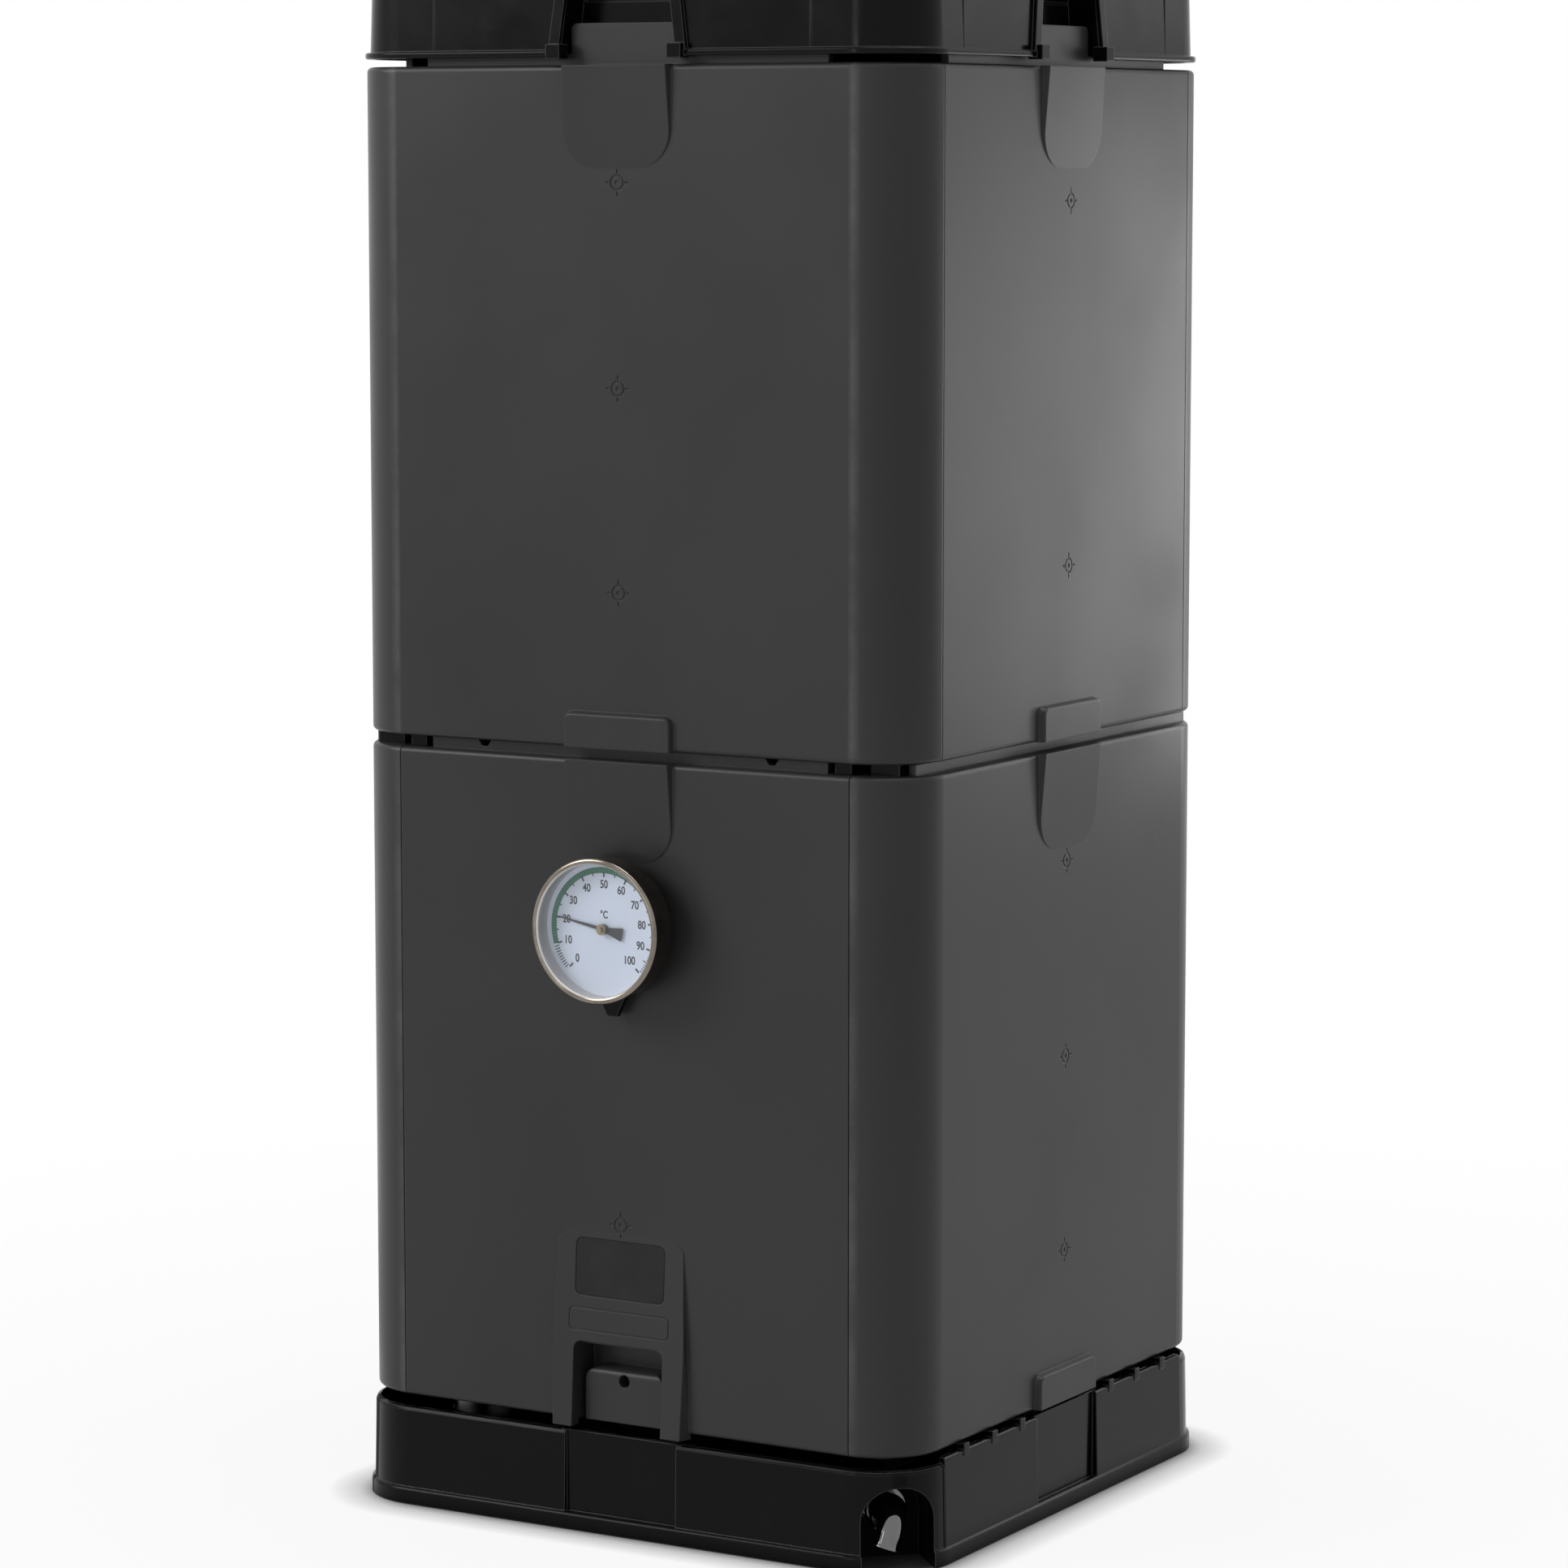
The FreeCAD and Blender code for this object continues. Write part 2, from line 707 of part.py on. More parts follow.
def grip_plates():
    """A bare label recess and a lined strip, both square to the sloping grip."""
    slope = math.degrees(math.atan2(size("grip_proud"), size("grip_height") + size("grip_leg_drop")))

    def sunk(half, radius, drop, depth):
        plate = rounded_prism("XZ_Plane", half, radius, ("0", "-" + drop), "-" + depth, "grip_proud")
        item = copy_of(plate, FreeCAD.Rotation(X_AXIS, -slope), "grip_height")
        bind(item, "Placement.Base.y", "-(outer)")
        return item
    label = sunk(("label_half_width", "label_half_height"), "label_round", "label_drop", "label_depth")
    strip = cut(
        sunk(("strip_half_width", "strip_half_height"), "strip_round", "strip_drop", "strip_depth"),
        sunk(("strip_half_width - strip_line", "strip_half_height - strip_line"), "strip_round - strip_line",
             "strip_drop", "2 * strip_depth"))
    return [label, strip]


def panel_set(kind):
    """Outer shell, foam core and inner liner of a wrap, flat or door panel."""
    is_flat = kind != "wrap"
    half = "flat_half" if is_flat else "outer"
    hollow = panel_hollow(half)
    solids = [panel_slab(half, is_flat), panel_tongue(), panel_lip(), panel_ramp()]
    pocket = tongue_pocket()
    if kind == "door":
        hollow = cut(hollow, grip_block())
        solids.append(grip_surround())
        openings = finger_recess() + grip_plates() + vent_notches()
        openings += gate_marks(["grip_height + gate_ring_radius + gate_ring_width"])
    else:
        solids.append(panel_housing())
        openings = [pocket]
    if kind == "wrap":
        openings += gate_marks(["gate_rise", "gate_middle", "gate_high"])
    if kind == "flat":
        openings += gate_marks(["gate_rise + gate_flat_inset", "gate_high - gate_flat_inset"])
    shell = cut(fuse(*solids), hollow, *openings)
    wide = centred("outer")
    tall = ("0", "tier_height")
    foam = common(hollow, box(wide, ("inner + skin", "outer"), tall))
    if kind != "door":
        foam = cut(foam, pocket)
    liner = common(hollow, box(wide, ("inner", "inner + skin"), tall))
    return {"shell": shell, "insulation": foam, "liner": liner}


PANELS = {kind: panel_set(kind) for kind in ("wrap", "flat", "door")}
PLACES = (
    ("lower_right", "wrap", AT_RIGHT, "lower_z"),
    ("lower_left", "wrap", AT_LEFT, "lower_z"),
    ("upper_front", "wrap", AT_FRONT, "upper_z"),
    ("upper_back", "wrap", AT_BACK, "upper_z"),
    ("upper_right", "flat", AT_RIGHT, "upper_z"),
    ("upper_left", "flat", AT_LEFT, "upper_z"),
    ("front_door", "door", AT_FRONT, "lower_z"),
    ("back_door", "door", AT_BACK, "lower_z"),
)
for place, kind, angle, level in PLACES:
    for layer, master in PANELS[kind].items():
        piece = master
        if layer == "shell" and place in ("lower_right", "lower_left"):
            piece = fuse(master, *lip_ends())
        if place == "front_door":
            bore_span = ("inner - skin", "outer + skin")
            piece = cut(master, rod("stem_radius + running_gap", "out", bore_span, ("0", "dial_height")))
        node(copy_of(piece, FreeCAD.Rotation(Z_AXIS, angle), level), f"{place}_{layer}")


# Base tray with a foot flange, four side recesses, vent tabs and the tap alcove
def corner_of(half):
    return f"corner_radius + ({half}) - outer"


def base_shell():
    eased = "(1 - sqrt(0.5)) * base_rim_round"
    levels = [("base_low", "0"), ("base_half", "base_height - base_rim_round"),
              (f"base_half - {eased}", f"base_height - {eased}"),
              ("base_half - base_rim_round", "base_height")]
    skirt = square_loft(*((half, corner_of(half), z) for half, z in levels))
    flange = round_edges(
        square_prism("foot_half", corner_of("foot_half"), ("0", "foot_height")),
        size("foot_round"), lambda point, level: level and point.z > NEAR)
    tray = square_prism("base_inner", corner_of("base_inner"), ("base_floor_top", "base_height + base_wall"))
    under_half = "base_low - base_wall"
    under = square_prism(under_half, corner_of(under_half), ("-base_wall", "base_floor_height"))
    shell = cut(fuse(skirt, flange), tray, under)

    recess_wall = box(
        centred("recess_half_width + base_wall"),
        ("base_inner - recess_depth", "base_half - recess_depth / 2"), ("base_floor_height", "base_height"))
    recess = box(centred("recess_half_width"), ("base_half - recess_depth", "2 * foot_half"),
                 ("foot_height", "base_height + facing_rise + base_wall"))
    facing_half = "outer - corner_radius"
    facing_top = size("base_height") + size("facing_rise")
    facing_face = size("body_width") / 2 + size("base_overhang") + size("facing_proud")
    facing = round_edges(
        wedge(("foot_height - foot_round", "base_height + facing_rise"),
              centred(facing_half), ("base_inner", "base_low + facing_proud"),
              centred(facing_half), ("base_inner", "base_half + facing_proud")),
        size("facing_round"),
        lambda point, level: level and point.z > facing_top - NEAR and point.y < NEAR - facing_face)
    shoulder = "(base_height - 4 * base_wall)"
    tongue = rounded_prism(
        "XZ_Plane", ("tongue_half_width", f"(lower_z + tongue_entry - {shoulder}) / 2"), "tongue_round",
        ("0", f"(lower_z + tongue_entry + {shoulder}) / 2"), "tongue_back", "lip_thickness")
    bridge = box(centred("tongue_half_width"), ("tongue_back", "base_half - 1.5 * recess_depth"),
                 (f"{shoulder} + tongue_round", "base_height"))
    tabs = []
    for index in range(3):
        for side in ("", "-"):
            middle = f"{side}(tab_first + {index} * tab_pitch)"
            tabs.append(box(about(middle, "tab_width"),
                            ("base_half - tab_depth", "base_half + facing_proud + tab_proud"),
                            ("base_height + facing_rise - tab_drop", "lower_z")))
    post_height = ("base_floor_height", "grate_height")
    post_out = about("post_offset", "post_width")
    post = box(about("0", "post_width"), post_out, post_height)
    corner_post = box(post_out, post_out, post_height)
    rib_height = ("0", "base_floor_height + base_wall / 2")
    rib_span = centred("base_low - base_wall / 2")
    ribs = [box(about(f"{row} * rib_offset", "rib_thickness"), rib_span, rib_height) for row in (-1, 0, 1)]
    pad = box(centred("pad_half_width"), centred("pad_half_width"), rib_height)

    reach = ("alcove_back - base_wall", "2 * base_wall + alcove_depth")
    hood = rounded_prism(
        "XZ_Plane", ("alcove_half_width + base_wall", "alcove_height + base_wall"),
        "alcove_round + base_wall", ("0", "0"), *reach)
    arch = rounded_prism(
        "XZ_Plane", ("alcove_half_width", "alcove_height"), "alcove_round",
        ("0", "0"), "alcove_back", "2 * alcove_depth")
    shank_hole = rod("tap_shank_radius", "out", ("alcove_back - 2 * base_wall", "alcove_back + base_wall"),
                     ("0", "tap_height"))
    to_corner = FreeCAD.Rotation(Z_AXIS, TAP_BEARING)
    hood = common(copy_of(hood, to_corner), skirt)
    alcove = copy_of(fuse(arch, shank_hole), to_corner)

    rims = around(fuse(tongue, bridge, facing, *tabs), (AT_RIGHT, AT_LEFT))
    added = [*around(recess_wall), *rims, *around(post), *around(corner_post),
             *around(fuse(*ribs, pad), (AT_FRONT, AT_RIGHT))]
    return cut(fuse(shell, *added, hood), *around(recess), alcove)


node(base_shell(), "base_shell")


# Drain grate over the reservoir and the slotted aeration core that stands on it
def drain_grate():
    plate = square_prism("grate_half", "grate_corner", ("grate_height", "grate_top"))
    slots = []
    rows = 6
    for row in range(-rows, rows + 1):
        out = about(f"{row} * (grate_half - 2 * grate_slot_margin) / {rows}", "grate_slot_width")
        for x in both_sides(("core_half + grate_slot_margin", "grate_half - grate_slot_margin")):
            slots.append(box(x, out, ("grate_height - skin", "grate_top + skin")))
    return cut(plate, *slots)


def core_tower():
    tube = cut(
        square_prism("core_half", "core_corner", ("grate_top", "core_top")),
        square_prism("core_half - core_wall", "core_corner - core_wall",
                     ("grate_top - skin", "core_top + skin")))
    slots = []
    gaps = 12
    for row in range(gaps + 1):
        low = f"grate_top + core_slot_first + {row} * (core_top - grate_top - 2 * core_slot_first) / {gaps}"
        slots.append(box(centred("core_slot_half_length"), centred("core_width"),
                         (low, f"{low} + core_slot_height")))
    comb = fuse(*slots)
    return cut(tube, *around(comb, (AT_FRONT, AT_RIGHT)))


def core_cap():
    eave = "core_half + core_cap_overhang"
    hat = square_loft((eave, "core_corner", "core_top"),
                      ("core_half / 2", "core_corner / 2", "core_top + core_cap_rise"))
    plug = square_prism("core_half - core_wall", "core_corner - core_wall",
                        ("core_top - core_plug_depth", "core_top"))
    return fuse(hat, plug)


node(drain_grate(), "drain_grate")
node(core_tower(), "aeration_core")
node(core_cap(), "aeration_core_cap")


# Drain tap, drawn on the outward axis and turned to the corner
def at_corner(item, label, spin=0):
    turn = FreeCAD.Rotation(Z_AXIS, TAP_BEARING) * FreeCAD.Rotation(OUTWARD, spin)
    return node(copy_of(item, turn, "tap_height"), label)


def tap_body():
    tail = "alcove_back - base_wall - tap_seal - tap_nut - skin"
    return turned([
        ("tap_bore_radius", tail),
        ("tap_shank_radius", tail),
        ("tap_shank_radius", "alcove_back"),
        ("tap_flange_radius", "alcove_back"),
        ("tap_flange_radius", "alcove_back + tap_flange"),
        ("tap_barrel_radius", "alcove_back + tap_flange"),
        ("tap_barrel_radius", "barrel_end"),
        ("tap_bore_radius", "barrel_end"),
    ])


def tap_nut():
    back = "alcove_back - base_wall - tap_seal"
    prism = doc.addObject("Part::Prism", "Hexagon")
    prism.Polygon = 6
    bind(prism, "Circumradius", "tap_nut_radius")
    bind(prism, "Height", "tap_nut")
    prism.Placement = FreeCAD.Placement(ORIGIN, FreeCAD.Rotation(X_AXIS, 90))
    bind(prism, "Placement.Base.y", f"-({back} - tap_nut)")
    bore = rod("tap_shank_radius", "out", (f"{back} - 2 * tap_nut", back + " + tap_nut"), ("0", "0"))
    return cut(prism, bore)


def tap_spout():
    """A swivel hub over the barrel, a round elbow and a short outlet, drawn pointing up."""
    hub = rod("spout_hub_radius", "out", ("spout_root", "spout_centre"), ("0", "0"))
    elbow = doc.addObject("Part::Sphere", "Elbow")
    bind(elbow, "Radius", "spout_hub_radius")
    bind(elbow, "Placement.Base.y", "-(spout_centre)")

    def leaning(radius, length, offset):
        bar = doc.addObject("Part::Cylinder", "Outlet")
        bind(bar, "Radius", radius)
        bind(bar, "Height", length)
        bar.Placement = FreeCAD.Placement(ORIGIN, FreeCAD.Rotation(X_AXIS, size("spout_lean_angle")))
        bind(bar, "Placement.Base.y", f"-(spout_centre) - ({offset}) * sin(spout_lean_angle)")
        bind(bar, "Placement.Base.z", f"({offset}) * cos(spout_lean_angle)")
        return bar
    pipe = leaning("spout_pipe_radius", "spout_reach", "0")
    bead = leaning("spout_bead_radius", "spout_bead", "spout_reach - spout_bead")
    mouth = leaning("spout_bore_radius", "spout_bore_depth + skin", "spout_reach - spout_bore_depth")
    socket = rod("tap_barrel_radius + turning_gap", "out",
                 ("spout_root - spout_hub_radius", "barrel_end + running_gap"), ("0", "0"))
    return cut(fuse(hub, elbow, pipe, bead), mouth, socket)


at_corner(tap_body(), "tap_body")
at_corner(ring("tap_shank_radius", "tap_seal_radius",
               ("alcove_back - base_wall - tap_seal", "alcove_back - base_wall")), "tap_seal")
at_corner(tap_nut(), "tap_nut")
at_corner(tap_spout(), "tap_spout", size("spout_turn_angle"))


# Spacer blocks that carry the upper tier over the gap
def tier_spacers():
    gap = ("lower_top", "upper_z")
    corner_span = ("outer - spacer_inset - spacer_width", "outer - spacer_inset")
    corner = box(corner_span, corner_span, gap)
    peg_out = ("tongue_front - peg_width", "tongue_front")
    blocks = around(corner)
    for x in both_sides(("peg_offset", "peg_offset + peg_width")):
        hanging = box(x, peg_out, ("lower_top + running_gap", "upper_z"))
        standing = box(x, ("tongue_back - peg_width", "tongue_back"), gap)
        blocks += around(hanging, (AT_FRONT, AT_BACK)) + around(standing, (AT_RIGHT, AT_LEFT))
    group = doc.addObject("Part::Compound", "Spacers")
    group.Links = blocks
    return group


node(tier_spacers(), "tier_spacers")


# Lid with a notch over each tongue, its liner and foam, and the hinge on the back tongue
def lid_shell():
    skirt = square_loft(("lid_low", corner_of("lid_low"), "lid_z"),
                        ("lid_top", corner_of("lid_top"), "eaves_z"))
    roof = square_loft(("lid_top", corner_of("lid_top"), "eaves_z"),
                       ("roof_half", "roof_top_corner", "ridge_z"))
    bead_half = "lid_low + lid_bead"
    bead = round_edges(
        square_prism(bead_half, corner_of(bead_half), ("lid_z", "lid_z + lid_bead_height")),
        size("lid_bead_height") / 3, lambda point, level: level)
    inside = [
        square_loft(("lid_low - lid_wall", corner_of("lid_low - lid_wall"), "lid_z - lid_wall"),
                    ("lid_top - lid_wall", corner_of("lid_top - lid_wall"), "eaves_z")),
        square_loft(("lid_top - lid_wall", corner_of("lid_top - lid_wall"), "eaves_z"),
                    ("roof_half - lid_wall", "roof_top_corner - lid_wall", "ridge_z - lid_wall")),
    ]
    shell = cut(fuse(skirt, roof, bead), *inside)

    notch_wall = wedge(
        ("upper_top + tier_gap", "lid_z + notch_height + lid_wall"),
        centred("notch_low_half_width + lid_wall"), ("notch_back - lid_wall", "lid_low - lid_wall / 2"),
        centred("notch_top_half_width + lid_wall"), ("notch_back - lid_wall", "lid_top - lid_wall / 2"))
    notch = wedge(
        ("lid_z - lid_wall", "lid_z + notch_height"),
        centred("notch_low_half_width"), ("notch_back", "outer + notch_depth"),
        centred("notch_top_half_width"), ("notch_back", "outer + notch_depth"))
    rib_low = "notch_low_half_width"
    narrowing = "(notch_low_half_width - notch_top_half_width) / notch_height"
    rib_high = f"({rib_low} - {narrowing} * notch_rib_height)"
    raised = []
    for side in ("", "-"):
        low_x = sorted_span(side, rib_low, f"{rib_low} + notch_rib_width")
        high_x = sorted_span(side, rib_high, f"{rib_high} + notch_rib_width")
        raised.append(wedge(("lid_z", "lid_z + notch_rib_height"),
                            low_x, ("lid_low - lid_wall", "lid_low + notch_rib_proud"),
                            high_x, ("lid_low - lid_wall", "lid_low + notch_rib_proud - lid_taper / 2")))
        line = about(side + "crease_offset", "crease_width")
        raised.append(wedge(("lid_z + lid_bead_height", "eaves_z"),
                            line, ("lid_top - lid_wall / 2", "lid_low"),
                            line, ("lid_top - lid_wall / 2", "lid_top + crease_proud")))
    notch_line = box(centred("notch_top_half_width"),
                     ("notch_back - notch_line_depth", "notch_back + lid_wall"),
                     about("(lid_z + notch_line_height)", "notch_line_width"))
    foot_out = ("outer - notch_foot_half_depth", "outer + notch_foot_half_depth")
    feet = [box(x, foot_out, about("hinge_z", "notch_foot_height"))
            for x in both_sides(("foot_inner", "foot_outer"))]
    fins = [box(x, ("tongue_back", "lid_top - lid_wall / 2"), ("upper_top + tier_gap", "eaves_z"))
            for x in both_sides(about("rest_fin_offset", "rest_fin_width"))]
    boss_span = ("lid_liner_top", "ridge_z - lid_wall / 2")
    boss = rod("boss_radius", "z", boss_span, ("boss_offset", "boss_offset"))
    pilot = rod("screw_radius", "z", ("lid_liner_z", "lid_liner_z + screw_length"),
                ("boss_offset", "boss_offset"))
    pin_bore = copy_of(
        rod("hinge_pin_radius + turning_gap", "x", centred("foot_outer + skin"), ("outer", "hinge_z")),
        FreeCAD.Rotation(Z_AXIS, AT_BACK))
    body = fuse(shell, *around(notch_wall), *around(fuse(*fins)), *around(boss))
    body = cut(body, *around(fuse(notch, notch_line)))
    for piece in (*raised, *feet):
        body = fuse(body, *around(piece))
    return cut(body, pin_bore, *around(pilot))


def lid_layer(z, radius):
    """A square sheet inside the lid with four holes of the given radius."""
    sheet_half = "lid_liner_half"
    slab = square_prism(sheet_half, corner_of(sheet_half), z)
    hole = rod(radius, "z", (f"{z[0]} - skin", f"{z[1]} + skin"), ("boss_offset", "boss_offset"))
    return cut(slab, *around(hole))


def lid_screws():
    place = ("boss_offset", "boss_offset")
    head = rod("screw_head_radius", "z", ("lid_liner_z - screw_head", "lid_liner_z"), place)
    shank = rod("screw_radius", "z", ("lid_liner_z", "lid_liner_z + screw_length"), place)
    group = doc.addObject("Part::Compound", "Screws")
    group.Links = around(fuse(head, shank))
    return group


def hinge_bracket():
    plate = box(centred("lug_outer"), ("tongue_front", "tongue_front + hinge_plate"),
                ("upper_top + lip_rise / 4", "upper_top + lip_rise / 4 + hinge_plate_height"))
    solids = [plate]
    for x in both_sides(("lug_inner", "lug_outer")):
        solids.append(rod("hinge_lug_radius", "x", x, ("outer", "hinge_z")))
        solids.append(box(x, ("tongue_front", "outer"),
                          about("hinge_z", "(2 * hinge_pin_radius + hinge_plate)")))
    bore = rod("hinge_pin_radius", "x", centred("foot_outer"), ("outer", "hinge_z"))
    return cut(fuse(*solids), bore)


def hinge_pins():
    group = doc.addObject("Part::Compound", "Pins")
    group.Links = [rod("hinge_pin_radius", "x", x, ("outer", "hinge_z"))
                   for x in both_sides(("lug_inner", "foot_outer"))]
    return group


TO_BACK = FreeCAD.Rotation(Z_AXIS, AT_BACK)
node(lid_shell(), "lid_shell")
node(lid_layer(("lid_liner_z", "lid_liner_top"), "screw_radius"), "lid_liner")
node(lid_layer(("lid_liner_top", "lid_liner_top + lid_foam"), "boss_radius"), "lid_insulation")
node(lid_screws(), "lid_liner_screws")
node(copy_of(hinge_bracket(), TO_BACK), "lid_hinge_bracket")
node(copy_of(hinge_pins(), TO_BACK), "lid_hinge_pins")


# Dial thermometer, drawn about the outward axis and raised to its height on the door
def on_dial(item, label, spin=0):
    return node(copy_of(item, FreeCAD.Rotation(OUTWARD, spin), "dial_z"), label)


def thermometer_case():
    bore = "pointer_shaft_radius + turning_gap"
    cup = turned([
        (bore, "case_back"),
        ("case_radius", "case_back"),
        ("case_radius", "case_front"),
        ("case_radius - case_wall", "case_front"),
        ("case_radius - case_wall", "dial_out"),
        (bore, "dial_out"),
    ])
    bezel = doc.addObject("Part::Torus", "Bezel")
    bind(bezel, "Radius1", "case_radius - case_wall + bezel_radius - case_wall / 4")
    bind(bezel, "Radius2", "bezel_radius")
    bezel.Placement = FreeCAD.Placement(ORIGIN, FreeCAD.Rotation(X_AXIS, 90))
    bind(bezel, "Placement.Base.y", "-(case_front)")
    return fuse(cup, bezel)


def thermometer_bracket():
    out = ("outer + bush_length", "case_back")
    disc = rod("bracket_radius", "out", out, ("0", "0"))
    vee = wedge(("-bracket_drop", "0"), centred("bracket_tip_half_width"), out,
                centred("bracket_radius * 1.6"), out)
    hole = rod("stem_radius", "out", ("outer", "case_front"), ("0", "0"))
    return cut(fuse(disc, vee), hole)


def thermometer_pointer():
    level = "dial_out + dial_thickness + pointer_lift"
    blade = (level, f"{level} + pointer_thickness")
    needle = wedge(("0", "pointer_length"), centred("pointer_half_width"), blade,
                   centred("pointer_tip_half_width"), blade)
    tail = wedge(("-pointer_tail", "0"), centred("pointer_tail_half_width"), blade,
                 centred("pointer_half_width"), blade)
    hub = rod("hub_radius", "out", (f"{level} - pointer_thickness", f"{level} + hub_length"), ("0", "0"))
    shaft = rod("pointer_shaft_radius", "out", ("case_back + case_wall", level), ("0", "0"))
    return fuse(needle, tail, hub, shaft)


on_dial(thermometer_case(), "thermometer_case")
on_dial(ring("pointer_shaft_radius + 2 * running_gap", "case_radius - case_wall",
             ("dial_out", "dial_out + dial_thickness")), "thermometer_dial")
on_dial(rod("case_radius - case_wall", "out",
            ("case_front - lens_setback - lens_thickness", "case_front - lens_setback"), ("0", "0")),
        "thermometer_lens")
on_dial(rod("stem_radius", "out", ("stem_tip", "case_back"), ("0", "0")), "thermometer_stem")
on_dial(ring("stem_radius", "bush_radius", ("outer", "outer + bush_length")), "thermometer_bush")
on_dial(thermometer_bracket(), "thermometer_bracket")
on_dial(thermometer_pointer(), "thermometer_pointer", size("pointer_turn_angle"))

doc.recompute()
for item in doc.Objects:
    if "Invalid" in item.State or "Error" in item.State:
        raise RuntimeError(f"{item.Label} ({item.Name}) failed to build: {item.State}")
for item in nodes:
    if item.Shape.isNull() or not item.Shape.isValid() or not item.Shape.Solids:
        raise RuntimeError(f"{item.Label} has no valid solid")
os.makedirs("parts", exist_ok=True)
for item in nodes:
    item.Shape.exportStep(f"parts/{item.Label}.step")
    print(f"{item.Label}: {len(item.Shape.Solids)} solids, {item.Shape.Volume / 1000:.1f} cm3")
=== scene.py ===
"""Looks of the insulated compost bin: moulded plastics, the printed dial and the swan neck of the tap."""
import bpy
import bmesh
import json
import math
from mathutils import Matrix, Vector


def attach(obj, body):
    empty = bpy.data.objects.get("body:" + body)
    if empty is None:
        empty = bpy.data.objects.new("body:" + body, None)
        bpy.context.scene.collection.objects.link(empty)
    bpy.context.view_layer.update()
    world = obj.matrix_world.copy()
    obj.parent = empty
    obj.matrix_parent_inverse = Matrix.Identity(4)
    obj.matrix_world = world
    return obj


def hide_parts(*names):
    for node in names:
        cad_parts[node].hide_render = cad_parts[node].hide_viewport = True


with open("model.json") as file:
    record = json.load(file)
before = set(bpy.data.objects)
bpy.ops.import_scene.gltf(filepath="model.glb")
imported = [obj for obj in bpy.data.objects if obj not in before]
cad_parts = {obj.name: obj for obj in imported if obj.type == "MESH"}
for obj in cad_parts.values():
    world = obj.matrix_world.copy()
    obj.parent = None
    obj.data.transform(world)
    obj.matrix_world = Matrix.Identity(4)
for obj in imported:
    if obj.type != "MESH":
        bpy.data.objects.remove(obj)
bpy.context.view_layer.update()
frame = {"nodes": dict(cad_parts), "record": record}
JOINT_PLACE = {joint["name"]: joint["pos_m"] for joint in frame["record"]["behaviour"]["joints"]}

# Places and sizes on the bin, in metres
FACE = 0.250
CORNER_RADIUS = 0.052
BEND_START = FACE - CORNER_RADIUS
BASE_FLAT = 0.243
PANEL_EDGE = 0.0016
GLOSS_EDGE = 0.0014

# The dial
DIAL_HEIGHT = JOINT_PLACE["thermometer_needle"][2]
DIAL_FACE = -0.272
DIAL_RADIUS = 0.0509
MIDDLE_READING = 50.0
TURN_PER_READING = math.radians(2.7)

# The print on the dial, with its reaches as shares of the dial's radius
PRINT = 0.00012
GREEN_READINGS = range(10, 66)
GREEN_BAND = (0.835, 0.925)
GREEN_STEP_REACH = 0.885
MAIN_TICK = (0.775, 0.855)
MAIN_TICK_WIDTH = 0.0013
HALF_TICK = (0.80, 0.85)
FINE_TICK = (0.845, 0.925)
THIN_TICK_WIDTH = 0.0008
FIGURE_REACH = 0.665
LAST_FIGURE_REACH = 0.62
FIGURE_HEIGHT = 0.0062
FIGURE_WEIGHT = 0.00018
FIGURE_NARROWING = 0.80
FONT_SIZE_PER_HEIGHT = 1.4
SIGN_HEIGHT = 0.0056
SIGN_RISE = 0.0108

# The turned hub cap: each step is an inset and the rise after it
HUB_FACE = -0.2760
HUB_RADIUS = 0.0042
HUB_DEPTH = 0.0016
HUB_STEPS = ((0.0006, 0.0005), (0.0015, 0.0014), (0.0003, 0.0003))

# The label plate, sunk in the sloped shoulder over the grip
GRIP_TOP = 0.234
GRIP_LEAN = 0.009
GRIP_LENGTH = 0.152
GRIP_SLOPE = math.atan2(GRIP_LEAN, GRIP_LENGTH)
LABEL_DROP = 0.0275
LABEL_DEPTH = 0.0008
LABEL_WIDTH = 0.0788
LABEL_HEIGHT = 0.0438
LABEL_CORNER = 0.0054
LABEL_THICKNESS = 0.0004
LABEL_RIM = 0.0004
LABEL_CROWN = 0.0001

# The swan neck in the plane of its bend: distance from the bin's axis, height over the tap's axis, and radius
TAP_HEIGHT = JOINT_PLACE["tap_spout_turn"][2]
TAP_CORNER = math.radians(-45)
SPOUT_TURN = math.radians(-20)
NECK_WALL = 0.0019
NECK = (
    (0.2936, 0.0, 0.0145),
    (0.2990, 0.0, 0.0146),
    (0.3050, 0.0, 0.0146),
    (0.3085, -0.0005, 0.0125),
    (0.3150, -0.0040, 0.0108),
    (0.3195, -0.0120, 0.0101),
    (0.3203, -0.0210, 0.0099),
    (0.3204, -0.0222, 0.0107),
    (0.3205, -0.0234, 0.0107),
)

# The floor: its painted shade under the bin and its whiteness change with the distance from a square inside
# the bin's foot
FLOOR_SIZE = 40.0
FLOOR_DROP = 0.0005
FOOT_SQUARE = (0.19, 0.19, 1.0)
# Painted shade: over this reach the floor colour goes from dark under the bin's foot to pale
PAINTED_SHADE_EDGE = (0.058, 0.080)
SHADOW_EDGE = (0.064, 0.105)
NEAR_WHITE = 0.90
WHITE_REACH = (0.4, 1.6)

# The sky's strength as a light, and where it is seen as the background
SKY_LIGHT = 0.33
SKY_SEEN = 1.0

# The camera, as fitted to the edges of both tiers
CAMERA_YAW = math.radians(30.525)
CAMERA_PITCH = math.radians(6.842)
CAMERA_DISTANCE = 4.1733
CAMERA_SIDE = -0.0028
CAMERA_HEIGHT = 0.5539
FOCAL_PIXELS = 6469.2
PHOTO_PIXELS = 1932.0
SENSOR_WIDTH = 36.0


# Modelling helpers
def leave_all():
    if bpy.context.object and bpy.context.object.mode != "OBJECT":
        bpy.ops.object.mode_set(mode="OBJECT")
    bpy.ops.object.select_all(action="DESELECT")


